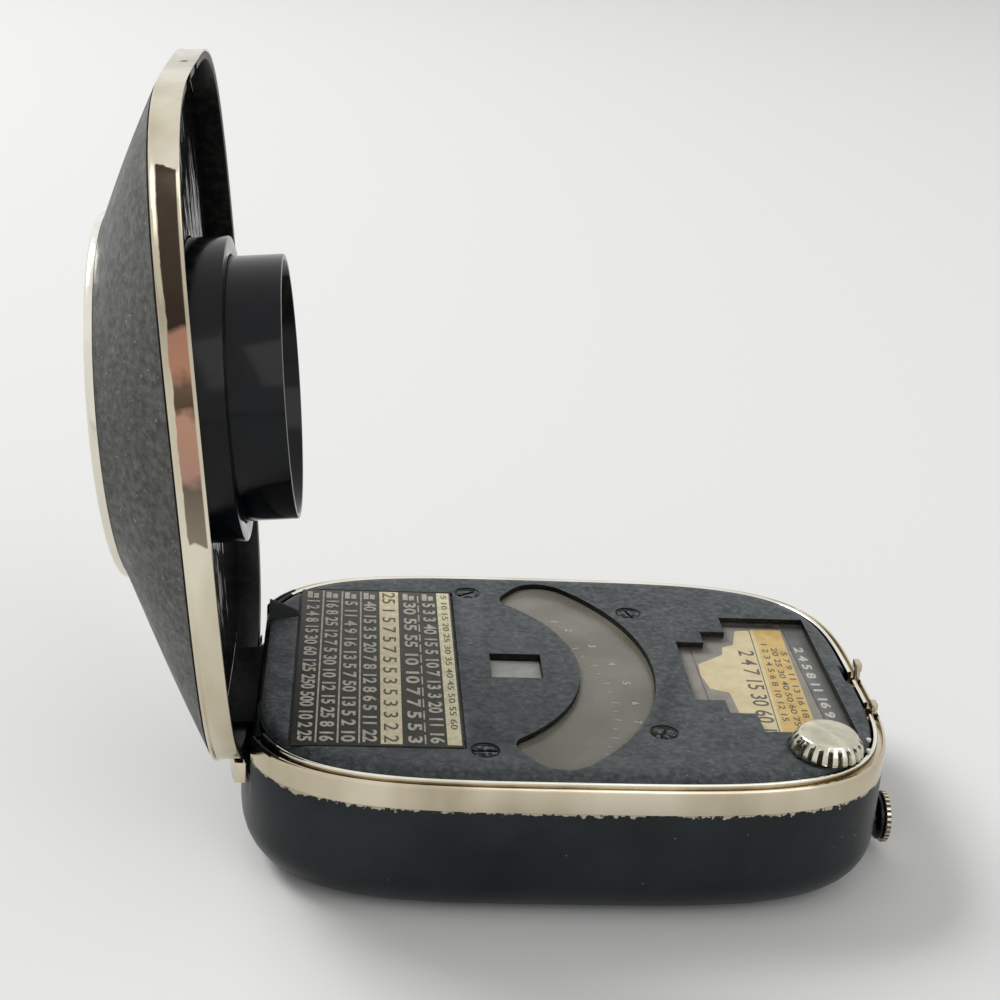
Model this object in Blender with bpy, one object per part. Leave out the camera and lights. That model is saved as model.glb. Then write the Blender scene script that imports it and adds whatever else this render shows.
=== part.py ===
"""Pocket light meter: case, dial, calculator, movement, latch and hinged lid with a telescopic light tube."""
import math

import bmesh
import bpy
import numpy as np
from mathutils import Matrix, Vector

MM = 0.001

# Case
CASE_LENGTH = 70.0 * MM
CASE_WIDTH = 51.5 * MM
CASE_HEIGHT = 16.0 * MM
CASE_WALL = 1.4 * MM
FLOOR_THICKNESS = 1.4 * MM
FOOT_RADIUS = 5.5 * MM
CORNER_POWER = 3.9
OUTLINE_STEPS = 64
FOOT_STEPS = 5

# Steps along and across the face that its places are counted in, a millimetre each on this case
ALONG = CASE_LENGTH / 70
ACROSS = CASE_WIDTH / 51.5

# Fits
SEAT = 0.25 * MM
RUN = 0.2 * MM
PIVOT_RUN = 0.1 * MM
OVERRUN = 2.0 * MM
EDGE_BREAK = 0.12 * MM

# Nickel rim frame of the case
BAND_HEIGHT = 2.7 * MM
BAND_EDGE = 0.35 * MM
GROOVE_WIDTH = 0.5 * MM
GROOVE_DEPTH = 0.5 * MM
LIP_WIDTH = 0.45 * MM
LIP_RISE = 0.3 * MM

# Dial plate
PLATE_RISE = 0.7 * MM
PLATE_THICKNESS = 0.9 * MM
PLATE_SHOULDER = 1.45 * MM
PLATE_EDGE_RISE = 0.3 * MM
PLATE_SHOULDER_SHARES = ((0.15, 0.5), (0.5, 0.85))
WINDOW_GAP = 0.25 * MM
WINDOW_GLASS = 0.5 * MM
WINDOW_MARGIN = 0.55 * MM

# Pointer arc
PIVOT_X = -19.0 * ALONG
ARC_INNER = 21.3 * ALONG
ARC_OUTER = 29.8 * ALONG
ARC_TOP = 23.955 * ACROSS
ARC_HALF_ANGLE = math.asin(ARC_TOP / ARC_OUTER)
ARC_CORNER = 1.3 * MM
ARC_STEPS = 24

# Small square window
SIGHT_X = -4.8 * ALONG
SIGHT_SIZE = 5.8 * MM

# Stepped calculator window
STEP_WINDOW_END = 4.0 * MM
STEP_WINDOW_RIGHT = CASE_LENGTH / 2 - STEP_WINDOW_END
STEP_WINDOW_X = (14.5 * ALONG, 17.8 * ALONG, 20.8 * ALONG)
STEP_WINDOW_Y = (7.1 * ACROSS, 10.0 * ACROSS, 14.0 * ACROSS)

# Table plate
TABLE_X = -20.45 * ALONG
TABLE_LENGTH = 17.85 * ALONG
TABLE_WIDTH = 37.6 * ACROSS
TABLE_THICKNESS = 0.3 * MM
TABLE_PROUD = 0.08 * MM

# Plate screws
PLATE_SCREW_X = (-9.4 * ALONG, 9.85 * ALONG)
PLATE_SCREW_Y = (19.15 * ACROSS, 14.6 * ACROSS)
PLATE_SCREW_HEAD = 1.3 * MM
PLATE_SCREW_SINK = 0.12 * MM
PLATE_SCREW_CONE = 0.65 * MM
PLATE_SCREW_SHANK = 0.6 * MM
PLATE_SCREW_LENGTH = 5.5 * MM
SCREW_SLOT = 0.3 * MM
SCREW_SLOT_DEPTH = 0.3 * MM
SCREW_TURN = math.radians(35)
BOSS_RADIUS = 1.7 * MM

# Movement
CHASSIS_THICKNESS = 1.0 * MM
CHASSIS_RISE = 1.2 * MM
CHASSIS_LENGTH = 31.6 * ALONG
CHASSIS_WIDTH = 34.0 * ACROSS
CHASSIS_SHIFT = 4.8 * ALONG
CHASSIS_CORNER = 4.0 * MM
CHASSIS_SCREW_Y = 14.0 * ACROSS
CHASSIS_SCREW_SHIFT = 4.0 * MM
SMALL_SCREW_HEAD = 1.1 * MM
SMALL_SCREW_HEAD_HEIGHT = 0.6 * MM
SMALL_SCREW_SHANK = 0.55 * MM
MAGNET_OUTER = 10.0 * MM
MAGNET_INNER = 6.6 * MM
MAGNET_HEIGHT = 4.6 * MM
MAGNET_OPENING = math.radians(46)
MAGNET_FOOT = 1.4 * MM
POLE_OUTER = 6.3 * MM
POLE_INNER = 4.5 * MM
POLE_HALF_ANGLE = math.radians(56)
POLE_FOOT = 0.55 * MM
CORE_RADIUS = 3.0 * MM
CORE_BORE = 0.8 * MM
CORE_ARM_WIDTH = 1.2 * MM
COIL_OUTER = 4.15 * MM
COIL_INNER = 3.35 * MM
COIL_WIDTH = 2.0 * MM
COIL_BAR = 0.7 * MM
COIL_BOTTOM = -10.4 * MM
COIL_TOP = -3.6 * MM
SPINDLE_RADIUS = 0.4 * MM
PIVOT_RADIUS = 0.2 * MM
PIVOT_LENGTH = 0.5 * MM
SPINDLE_BOTTOM = -12.05 * MM
SPINDLE_TOP = -1.25 * MM
JEWEL_RADIUS = 0.8 * MM
JEWEL_CUP = 0.2 * MM
BRIDGE_THICKNESS = 0.5 * MM
BRIDGE_WIDTH = 3.0 * MM
BRIDGE_HALF_SPAN = 12.0 * MM
BRIDGE_POST_RADIUS = 1.1 * MM
BRIDGE_TOP = -1.0 * MM
BRIDGE_SCREW_DEPTH = 2.5 * MM
HAIRSPRING_TURNS = 3.0
HAIRSPRING_STEPS = 20
HAIRSPRING_INNER = 0.85 * MM
HAIRSPRING_PITCH = 0.63 * MM
HAIRSPRING_WIRE = 0.1 * MM
UPPER_SPRING_Z = -2.9 * MM
LOWER_SPRING_Z = -11.35 * MM
POINTER_Z = -2.05 * MM
POINTER_LENGTH = 27.8 * ALONG
POINTER_TAIL = 4.2 * MM
POINTER_WIDTH = 0.5 * MM
POINTER_TIP = 0.16 * MM
POINTER_THICKNESS = 0.16 * MM
POINTER_HUB = 1.0 * MM
POINTER_HOLE = 0.6 * MM
WEIGHT_RADIUS = 0.6 * MM
WEIGHT_LENGTH = 1.2 * MM
POINTER_ZERO = math.radians(-45)
SCALE_Z = -2.35 * MM
SCALE_THICKNESS = 0.25 * MM
SCALE_INNER = 10.6 * ALONG
SCALE_OUTER = 30.35 * ALONG
SCALE_MARGIN_ANGLE = math.radians(2)
SCALE_HALF_ANGLE = ARC_HALF_ANGLE + SCALE_MARGIN_ANGLE
SCALE_POST_RADIUS = 1.0 * MM
SCALE_POST_ARC = 19.0 * ALONG
SCALE_POST_ANGLE = math.radians(34)

# Calculator
KNOB_X = 26.6 * ALONG
KNOB_Y = -17.6 * ACROSS
KNOB_RADIUS = 3.9 * MM
KNOB_TOP_RADIUS = 2.9 * MM
KNOB_HEIGHT = 2.0 * MM
KNOB_FLUTES = 22
KNOB_FLUTE_DEPTH = 0.3 * MM
KNOB_SIDE_SHARES = ((1, 0), (1, 0.18), (0.72, 0.55), (0.24, 0.86), (0, 1))
KNOB_WELL_DEPTH = 0.2 * MM
STAFF_RADIUS = 0.9 * MM
CLIP_RADIUS = 1.8 * MM
CLIP_THICKNESS = 0.35 * MM
CLIP_GAP = 0.7 * MM
PINION_RADIUS = 2.4 * MM
PINION_TEETH = 14
PINION_THICKNESS = 1.0 * MM
FLANK_STEPS = 3
PRESSURE_ANGLE = math.radians(20)
ADDENDUM_SHARE = 0.8
DEDENDUM_SHARE = 1.05
TOOTH_PLAY = 0.12 * MM
RACK_WIDTH = 1.9 * MM
RACK_LOW_TEETH = 4
RACK_HIGH_TEETH = 5
RACK_POST = 0.5 * MM
RACK_POST_Y = (-8.0 * ACROSS, 4.0 * ACROSS)
RACK_TAIL = 2.75 * MM
CARD_TRAVEL = 3.0 * MM
CARD_Z = -1.4 * MM
CARD_THICKNESS = 0.3 * MM
CARD_END = 2.4 * MM
CARD_RIGHT = STEP_WINDOW_RIGHT - CARD_END
CARD_TOP = 11.4 * ACROSS
CARD_BOTTOM = -15.9 * ACROSS
CARD_STEP_X = (16.5 * ALONG, 19.8 * ALONG, 21.7 * ALONG, 22.6 * ALONG)
CARD_LOW_STEP_Y = (-0.6 * ACROSS, -6.1 * ACROSS, -12.0 * ACROSS)
CARD_HIGH_STEP_Y = (5.1 * ACROSS, 8.0 * ACROSS)
BACK_LEFT = 12.9 * ALONG
BACK_END = 0.6 * MM
BACK_RIGHT = STEP_WINDOW_RIGHT + BACK_END
BACK_HALF_WIDTH = 14.9 * ACROSS
BACK_THICKNESS = 0.3 * MM
BACK_POST_RADIUS = 0.9 * MM
BACK_POST_EDGE = 1.1 * MM
BACK_POST_X = (14.3 * ALONG, BACK_RIGHT - BACK_POST_EDGE)
BACK_POST_Y = 13.4 * ACROSS

# Adjusting knob on the end wall
ADJUSTER_Y = -10.0 * ACROSS
ADJUSTER_Z = -11.9 * MM
ADJUSTER_RADIUS = 2.85 * MM
ADJUSTER_FACE = 2.55 * MM
ADJUSTER_CHAMFER = 0.5 * MM
ADJUSTER_BACK = 0.75 * MM
ADJUSTER_RIM = 1.0 * MM
ADJUSTER_TEETH = 28
ADJUSTER_TOOTH_DEPTH = 0.16 * MM
ADJUSTER_SHAFT = 0.7 * MM
ADJUSTER_SHAFT_LENGTH = 7.5 * MM
ADJUSTER_CLIP = 1.3 * MM
ADJUSTER_CLIP_INSET = 2.75 * MM
ADJUSTER_CAM = 1.5 * MM
ADJUSTER_CAM_OFFSET = 0.6 * MM
ADJUSTER_CAM_LENGTH = 1.2 * MM

# Latch
LATCH_TRAVEL = 1.0 * MM
HOOK_THICKNESS = 0.6 * MM
HOOK_INSET = 0.4 * MM
HOOK_STEM = 0.6 * MM
HOOK_HEAD = 1.5 * MM
HOOK_REACH = 1.0 * MM
HOOK_HEAD_LOW = 1.2 * MM
HOOK_HEAD_HIGH = 2.15 * MM
HOOK_Y = -0.5 * ACROSS
BUTTON_Y = -8.6 * ACROSS
BUTTON_LENGTH = 1.3 * MM
BUTTON_THICKNESS = 0.9 * MM
BUTTON_LOW = 0.55 * MM
BUTTON_HIGH = 1.35 * MM
BAR_HEIGHT = 1.0 * MM
BAR_WIDTH = 1.0 * MM
BAR_TOP = -0.65 * MM
BAR_INSET = 2.0 * MM
BAR_END = 0.6 * MM
LEDGE_HEIGHT = 2.0 * MM
LEDGE_WIDTH = 1.1 * MM
EDGE_NOTCH_INSET = 2.4 * MM

# Hinge
PIN_INSET = 2.4 * MM
PIN_X = PIN_INSET - CASE_LENGTH / 2
PIN_Z = -1.4 * MM
PIN_RADIUS = 0.4 * MM
PIN_PLAY = 0.05 * MM
KNUCKLE_RADIUS = 0.85 * MM
HINGE_HALF_WIDTH = 15.0 * ACROSS
LID_KNUCKLE_HALF = 8.9 * ACROSS
KNUCKLE_GAP = 0.2 * MM
LEAF_THICKNESS = 0.5 * MM
NOTCH_DEPTH = 4.8 * MM
NOTCH_SIDE = 1.0 * MM
NOTCH_INSET = 3.8 * MM
NOTCH_FACE_X = NOTCH_INSET - CASE_LENGTH / 2
HINGE_BLOCK = 1.3 * MM
RIVET_Y = 7.5 * ACROSS
RIVET_SHANK = 0.35 * MM
RIVET_RADIUS = 0.6 * MM
RIVET_HEAD = 0.25 * MM
RIVET_Z = -3.65 * MM
STRAP_LOW = 1.75 * MM
STRAP_HEIGHT = 1.5 * MM
STRAP_REACH = 1.1 * MM
STRAP_HALF_WIDTH = 15.3 * ACROSS
STRAP_STEPS = 8

# Lead guard by the hinge
GUARD_Y = 12.0 * ACROSS
GUARD_WIDTH = 3.0 * MM
GUARD_LENGTH = 3.0 * MM
GUARD_HEIGHT = 1.8 * MM
GUARD_BACK = 0.35 * MM
GUARD_SHARES = ((0, 0), (1, 0), (1, 0.12), (0.75, 0.3), (0.5, 0.6), (0.15, 1), (0, 0.95))

# Lid
LID_ANGLE = math.radians(95.24)
LID_GAP = 0.3 * MM
LID_BAND = 2.3 * MM
LID_BEAD = 0.65 * MM
LID_WALL = 1.0 * MM
BEAD_PROUD = 0.12 * MM
DOME_RISE = 7.45 * MM
DOME_WALL = 0.8 * MM
DOME_BULGE = 0.5 * MM
DOME_STEPS = 4
DOME_INSET = 0.35 * MM
BEZEL_X = 1.2 * MM
BEZEL_OUTER = 19.0 * MM
BEZEL_WIDTH = 1.2 * MM
BEZEL_RISE = 0.65 * MM
BEZEL_SHARES = ((0, 0), (0, 0.6), (0.3, 1), (0.8, 1), (1, 0.7), (1, 0))
DISC_SINK = 0.2 * MM
DISC_THICKNESS = 0.45 * MM
DISC_SHELF = 1.0 * MM
ENTRY_HALF = 1.25 * MM
POCKET_LENGTH = 2.6 * MM
KEEPER_HEIGHT = 0.6 * MM
BUTTON_NOTCH = 4.4 * MM
PANEL_Z = 2.95 * MM
PANEL_EDGE = 0.2 * MM
PANEL_THICKNESS = 0.5 * MM
PANEL_CHAMFER = 1.0 * MM
STAND_X = 24.0 * ALONG
STAND_Y = 15.5 * ACROSS
STAND_RADIUS = 1.3 * MM

# Light tube, with heights from the lid's rim plane
TUBE_RADIUS_1 = 15.95 * MM
TUBE_RADIUS_2 = 13.85 * MM
TUBE_WALL_1 = 0.7 * MM
TUBE_WALL_2 = 0.6 * MM
TUBE_FRONT_1 = -1.5 * MM
TUBE_FRONT_2 = -7.0 * MM
TUBE_LENGTH_1 = 6.9 * MM
TUBE_LENGTH_2 = 7.1 * MM
FLANGE = 0.5 * MM
SOCKET_WALL = 0.7 * MM
SOCKET_LENGTH = 5.0 * MM
CELL_RADIUS = 14.8 * MM
CELL_THICKNESS = 0.6 * MM
CELL_Z = 9.35 * MM
CARRIER_WALL = 1.0 * MM
CONTACT_WIDTH = 1.0 * MM
CONTACT_THICKNESS = 0.2 * MM

# Facets
ROUND_STEPS = 64
MIDDLE_STEPS = 32
SMALL_STEPS = 16
FINE_STEPS = 12
CORNER_STEPS = 4
SHARP_ANGLE = math.radians(32)
LARGE = CASE_LENGTH


def rim(height):
    """A height given from the top of the case's rim."""
    return CASE_HEIGHT + height


def lid_z(height):
    """A height given from the closed lid's rim plane."""
    return rim(LID_GAP + height)


def outline_radius(inset, direction):
    """The distance from the middle to the case's outline, drawn in by an inset."""
    along = abs(math.cos(direction)) / (CASE_LENGTH / 2 - inset)
    across = abs(math.sin(direction)) / (CASE_WIDTH / 2 - inset)
    return (along ** CORNER_POWER + across ** CORNER_POWER) ** (-1 / CORNER_POWER)


def outline_directions():
    """Directions round the case, closer together where the outline turns."""
    fine = np.linspace(-math.pi, math.pi, 45 * OUTLINE_STEPS + 1)
    radius = np.array([outline_radius(0, a) for a in fine])
    points = np.stack([radius * np.cos(fine), radius * np.sin(fine)], axis=1)
    runs = np.diff(points, axis=0)
    length = np.linalg.norm(runs, axis=1)
    heading = np.unwrap(np.arctan2(runs[:, 1], runs[:, 0]))
    turn = np.abs(np.append(np.diff(heading), heading[1] - heading[0]))
    weight = length / length.sum() + 2 * turn / turn.sum()
    travelled = np.concatenate([[0], np.cumsum(weight)])
    steps = np.linspace(0, travelled[-1], OUTLINE_STEPS, endpoint=False)
    return np.interp(steps, travelled, fine)


DIRECTIONS = outline_directions()


def oval_ring(inset, z):
    """A ring along the case's outline."""
    reach = [outline_radius(inset, a) for a in DIRECTIONS]
    return [Vector((r * math.cos(a), r * math.sin(a), z)) for r, a in zip(reach, DIRECTIONS)]


def round_ring(radius, z, steps):
    """A level circle about the origin."""
    angles = [2 * math.pi * i / steps for i in range(steps)]
    return [Vector((radius * math.cos(a), radius * math.sin(a), z)) for a in angles]


def material(name, colour, roughness, metallic):
    made = bpy.data.materials.get(name)
    if made:
        return made
    made = bpy.data.materials.new(name)
    made.use_nodes = True
    shader = made.node_tree.nodes["Principled BSDF"]
    shader.inputs["Base Color"].default_value = (*colour, 1)
    shader.inputs["Roughness"].default_value = roughness
    shader.inputs["Metallic"].default_value = metallic
    return made


def black_paint():
    return material("black_paint", (0.02, 0.022, 0.025), 0.45, 0)


def nickel():
    return material("nickel", (0.62, 0.58, 0.52), 0.28, 1)


def brass():
    return material("brass", (0.6, 0.42, 0.18), 0.35, 1)


def steel():
    return material("steel", (0.45, 0.45, 0.46), 0.35, 1)


def black_steel():
    return material("black_steel", (0.03, 0.03, 0.03), 0.4, 1)


def black_moulding():
    return material("black_moulding", (0.015, 0.015, 0.017), 0.2, 0)


def clear_window():
    return material("clear_window", (0.8, 0.82, 0.8), 0.05, 0)


def scale_card():
    return material("scale_card", (0.5, 0.48, 0.42), 0.5, 0)


def selenium():
    return material("selenium", (0.12, 0.12, 0.16), 0.3, 1)


def ruby():
    return material("ruby", (0.5, 0.03, 0.08), 0.1, 0)


def finish(name, mesh_data, surface, origin=(0, 0, 0), parent=None):
    """Makes the object about its own origin, smooth but for its edges, on its parent."""
    mesh_data.transform(Matrix.Translation(-Vector(origin)))
    mesh_data.materials.clear()
    mesh_data.materials.append(surface)
    mesh_data.shade_smooth()
    mesh_data.set_sharp_from_angle(angle=SHARP_ANGLE)
    made = bpy.data.objects.new(name, mesh_data)
    bpy.context.scene.collection.objects.link(made)
    made.location = Vector(origin)
    if parent:
        made.parent = parent
        made.location -= parent.location
    return made


def mesh_from(builder):
    """The mesh of a bmesh, with its faces turned outwards."""
    bmesh.ops.recalc_face_normals(builder, faces=builder.faces)
    mesh_data = bpy.data.meshes.new("mesh")
    builder.to_mesh(mesh_data)
    builder.free()
    return mesh_data


def skin(rings, closed_section=False):
    """A mesh through successive rings of equal count, capped or closed round on itself."""
    builder = bmesh.new()
    rows = [[builder.verts.new(point) for point in ring] for ring in rings]
    pairs = list(zip(rows, rows[1:]))
    if closed_section:
        pairs.append((rows[-1], rows[0]))
    else:
        builder.faces.new(rows[0])
        builder.faces.new(rows[-1])
    count = len(rings[0])
    for low, high in pairs:
        for i in range(count):
            j = (i + 1) % count
            builder.faces.new((low[i], low[j], high[j], high[i]))
    return mesh_from(builder)


def turned(profile, centre=(0, 0, 0), steps=ROUND_STEPS, closed_section=False, along="Z"):
    """A solid of revolution through (radius, height) pairs, its height along an axis."""
    mesh_data = skin([round_ring(radius, z, steps) for radius, z in profile], closed_section)
    if along == "X":
        mesh_data.transform(Matrix.Rotation(math.pi / 2, 4, "Y"))
    if along == "Y":
        mesh_data.transform(Matrix.Rotation(-math.pi / 2, 4, "X"))
    mesh_data.transform(Matrix.Translation(Vector(centre)))
    return mesh_data


def cylinder(radius, low, high, centre=(0, 0), steps=SMALL_STEPS):
    return turned([(radius, low), (radius, high)], (centre[0], centre[1], 0), steps)


def washer(inner, outer, low, high, centre=(0, 0), steps=ROUND_STEPS):
    profile = [(outer, low), (outer, high), (inner, high), (inner, low)]
    return turned(profile, (centre[0], centre[1], 0), steps, closed_section=True)


def prism(points, low, high):
    """An upright prism over a plan outline."""
    return skin([[Vector((x, y, z)) for x, y in points] for z in (low, high)])


def block(x, y, z):
    return prism([(x[0], y[0]), (x[1], y[0]), (x[1], y[1]), (x[0], y[1])], z[0], z[1])


def side_prism(points, low, high):
    """A prism across Y over an outline in X and Z."""
    return skin([[Vector((x, y, z)) for x, z in points] for y in (low, high)])


def combine(first, second, operation):
    """One mesh from a Boolean of two meshes."""
    pair = []
    for mesh_data in (first, second):
        made = bpy.data.objects.new("work", mesh_data)
        bpy.context.scene.collection.objects.link(made)
        pair.append(made)
    modifier = pair[0].modifiers.new("Boolean", "BOOLEAN")
    modifier.operation = operation
    modifier.solver = "EXACT"
    modifier.object = pair[1]
    bpy.context.view_layer.update()
    graph = bpy.context.evaluated_depsgraph_get()
    result = bpy.data.meshes.new_from_object(pair[0].evaluated_get(graph))
    for made in pair:
        bpy.data.objects.remove(made)
    bpy.data.meshes.remove(first)
    bpy.data.meshes.remove(second)
    return result


def cut(body, *tools):
    for tool in tools:
        body = combine(body, tool, "DIFFERENCE")
    return body


def fuse(body, *others):
    for other in others:
        body = combine(body, other, "UNION")
    return body


def within_case(body, inset):
    """The part of a mesh that lies inside the case's outline."""
    return combine(body, skin([oval_ring(inset, 0), oval_ring(inset, rim(OVERRUN))]), "INTERSECT")


def arc(centre, radius, start, end, steps):
    """Points along an arc in plan."""
    angles = [start + (end - start) * i / steps for i in range(steps + 1)]
    return [(centre[0] + radius * math.cos(a), centre[1] + radius * math.sin(a)) for a in angles]


def sector(inner, outer, half_angle):
    """A crescent round the pointer's pivot, with rounded corners at both ends."""
    points = []
    turns = ((outer - ARC_CORNER, -1, -1), (outer - ARC_CORNER, 1, 0), (inner + ARC_CORNER, 1, 1),
             (inner + ARC_CORNER, -1, 2))
    for i, (radius, side, quarter) in enumerate(turns):
        base = side * (half_angle - ARC_CORNER / radius)
        centre = (PIVOT_X + radius * math.cos(base), radius * math.sin(base))
        start = base + quarter * math.pi / 2
        points += arc(centre, ARC_CORNER, start, start + math.pi / 2, CORNER_STEPS)
        if i % 2 == 0:
            edge = (outer, inner)[i // 2]
            reach = side * (half_angle - 2 * ARC_CORNER / edge)
            points += arc((PIVOT_X, 0), edge, reach, -reach, ARC_STEPS)
    return points


def stepped_outline(margin=0):
    """The stepped calculator window, widest at its right side."""
    x0, x1, x2 = [x - margin for x in STEP_WINDOW_X]
    y0, y1, y2 = [y + margin for y in STEP_WINDOW_Y]
    right = STEP_WINDOW_RIGHT + margin
    low = [(x0, -y0), (x1, -y0), (x1, -y1), (x2, -y1), (x2, -y2), (right, -y2)]
    return low + [(x, -y) for x, y in reversed(low)]


def slotted(body, x, y, top, head, turn):
    """Cuts a driver slot across a screw's head."""
    slot = block((-head - OVERRUN, head + OVERRUN), (-SCREW_SLOT / 2, SCREW_SLOT / 2),
                 (top - SCREW_SLOT_DEPTH, top + OVERRUN))
    slot.transform(Matrix.Translation((x, y, 0)) @ Matrix.Rotation(turn, 4, "Z"))
    return cut(body, slot)


def cheese_screw(name, x, y, seat, depth, turn):
    """A small slotted screw with a flat head standing on its seat."""
    top = seat + SMALL_SCREW_HEAD_HEIGHT
    profile = [(SMALL_SCREW_SHANK, seat - depth), (SMALL_SCREW_SHANK, seat),
               (SMALL_SCREW_HEAD, seat), (SMALL_SCREW_HEAD, top)]
    body = turned(profile, (x, y, 0), SMALL_STEPS)
    return finish(name, slotted(body, x, y, top, SMALL_SCREW_HEAD, turn), steel())


def plate_screw_places():
    return [(x, side * y) for x, y in zip(PLATE_SCREW_X, PLATE_SCREW_Y) for side in (-1, 1)]


def back_post_places():
    return [(x, side * BACK_POST_Y) for x in BACK_POST_X for side in (-1, 1)]


def chassis_screw_places():
    return [(PIVOT_X + CHASSIS_SCREW_SHIFT, side * CHASSIS_SCREW_Y) for side in (-1, 1)]


def bridge_screw_places():
    return [(PIVOT_X, side * BRIDGE_HALF_SPAN) for side in (-1, 1)]


def scale_post_places():
    reach = SCALE_POST_ARC
    angles = (-SCALE_POST_ANGLE, SCALE_POST_ANGLE)
    return [(PIVOT_X + reach * math.cos(a), reach * math.sin(a)) for a in angles]


def rivet_places():
    return [(NOTCH_FACE_X, side * RIVET_Y, rim(RIVET_Z)) for side in (-1, 1)]


def stand_places():
    return [(sx * STAND_X, sy * STAND_Y) for sx in (-1, 1) for sy in (-1, 1)]


def plate_bottom():
    return rim(PLATE_RISE - PLATE_THICKNESS)


def plate_inset():
    return BAND_EDGE + GROOVE_WIDTH + LIP_WIDTH + SEAT


def chassis_top():
    return FLOOR_THICKNESS + CHASSIS_RISE + CHASSIS_THICKNESS


def coil_middle():
    return rim((COIL_BOTTOM + COIL_TOP) / 2)


def calculator_levels():
    """The card's underside, then the back plate's top and underside, then the gears' top."""
    card_low = rim(CARD_Z - CARD_THICKNESS)
    back_top = card_low - SEAT
    back_low = back_top - BACK_THICKNESS
    return card_low, back_top, back_low, back_low - SEAT


def hook_x():
    outer = CASE_LENGTH / 2 - HOOK_INSET
    return (outer - HOOK_THICKNESS, outer)


def bar_x():
    outer = CASE_LENGTH / 2 - BAR_INSET
    return (outer - BAR_WIDTH, outer)


def bar_z():
    return (rim(BAR_TOP - BAR_HEIGHT), rim(BAR_TOP))


def bar_y():
    return (BUTTON_Y - BAR_END, HOOK_Y + HOOK_STEM + BAR_END)


def hinge_notch():
    """The room in the hinge end of the case where the lid's end swings."""
    half = HINGE_HALF_WIDTH + NOTCH_SIDE
    return block((-LARGE, NOTCH_FACE_X), (-half, half), (rim(-NOTCH_DEPTH), rim(OVERRUN)))


def cross_hole(radius, place):
    """A cutter along X, centred on a place."""
    return turned([(radius, -OVERRUN), (radius, OVERRUN)], place, SMALL_STEPS, along="X")


def case_wall_rings(wall, base):
    """Rings round the foot of the case's wall, from its bottom up."""
    radius = FOOT_RADIUS - wall
    rings = []
    for i in range(FOOT_STEPS, -1, -1):
        angle = math.pi / 2 * i / FOOT_STEPS
        inset = wall + radius * (1 - math.cos(angle))
        rings.append(oval_ring(inset, base + radius * (1 - math.sin(angle))))
    rings.append(oval_ring(wall, rim(-BAND_HEIGHT) - SEAT))
    return rings


def make_case():
    case = skin(case_wall_rings(0, 0))
    hollow = case_wall_rings(CASE_WALL, FLOOR_THICKNESS)
    hollow.append(oval_ring(CASE_WALL, rim(OVERRUN)))
    case = cut(case, skin(hollow))
    floor = FLOOR_THICKNESS / 2
    top = plate_bottom() - SEAT
    back_low = calculator_levels()[2]
    for x, y in plate_screw_places():
        case = fuse(case, cylinder(BOSS_RADIUS, floor, top, (x, y)))
        bottom = rim(PLATE_RISE - PLATE_SCREW_LENGTH) - SEAT
        case = cut(case, cylinder(PLATE_SCREW_SHANK + SEAT, bottom, top + OVERRUN, (x, y)))
    for place in back_post_places():
        case = fuse(case, cylinder(BACK_POST_RADIUS, floor, back_low - SEAT, place, FINE_STEPS))
    case = cut(fuse(case, hinge_block()), hinge_notch())
    for place in rivet_places():
        case = cut(case, cross_hole(RIVET_SHANK + PIVOT_RUN, place))
    case = fuse(case, latch_ledge())
    hole = ADJUSTER_SHAFT + PIVOT_RUN
    place = (CASE_LENGTH / 2, ADJUSTER_Y, rim(ADJUSTER_Z))
    bore = turned([(hole, -ADJUSTER_SHAFT_LENGTH), (hole, OVERRUN)], place, SMALL_STEPS, along="X")
    return finish("case_body", cut(case, bore), black_paint())


def hinge_block():
    """The thick part of the case's end wall that carries the hinge."""
    half = HINGE_HALF_WIDTH + NOTCH_SIDE + HINGE_BLOCK
    outer = -CASE_LENGTH / 2 + CASE_WALL / 2
    body = block((outer, NOTCH_FACE_X + HINGE_BLOCK), (-half, half),
                 (rim(-NOTCH_DEPTH - HINGE_BLOCK), rim(-BAND_HEIGHT) - SEAT))
    return within_case(body, CASE_WALL / 2)


def latch_ledge():
    """The ledge under the latch bar, with a stop past each end of the bar's travel."""
    left = bar_x()[0] - SEAT / 2
    inner = CASE_LENGTH / 2 - plate_inset() - SEAT
    low = bar_z()[0] - SEAT - LEDGE_HEIGHT
    high = bar_z()[0] - SEAT
    start = bar_y()[0] - SEAT
    end = bar_y()[1] + LATCH_TRAVEL + SEAT
    span = (start - LEDGE_WIDTH, end + LEDGE_WIDTH)
    foot = block((left, CASE_LENGTH / 2 - CASE_WALL / 2), span, (low, rim(-BAND_HEIGHT) - SEAT))
    ledge = fuse(foot, block((left, inner), span, (low, high)))
    for stop in ((span[0], start), (end, span[1])):
        ledge = fuse(ledge, block((left, inner), stop, (low, bar_z()[1])))
    return ledge


def arm_slots():
    """Slots through the rim frame for the latch hook and the button's arm."""
    span_x = (bar_x()[0], hook_x()[1] + RUN)
    span_z = (bar_z()[0] - SEAT, rim(OVERRUN))
    slots = []
    for low, length in ((HOOK_Y, HOOK_STEM), (BUTTON_Y, BUTTON_LENGTH)):
        slots.append(block(span_x, (low - RUN, low + length + LATCH_TRAVEL + RUN), span_z))
    return slots


def make_rim_frame():
    groove = BAND_EDGE + GROOVE_WIDTH
    inner = groove + LIP_WIDTH
    section = [(0, -BAND_HEIGHT), (0, -EDGE_BREAK), (EDGE_BREAK, 0), (BAND_EDGE, 0),
               (BAND_EDGE, -GROOVE_DEPTH), (groove, -GROOVE_DEPTH), (groove, LIP_RISE), (inner, LIP_RISE),
               (inner, -BAND_HEIGHT)]
    frame = skin([oval_ring(inset, rim(z)) for inset, z in section], closed_section=True)
    return finish("rim_frame", cut(frame, hinge_notch(), *arm_slots()), nickel())


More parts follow.
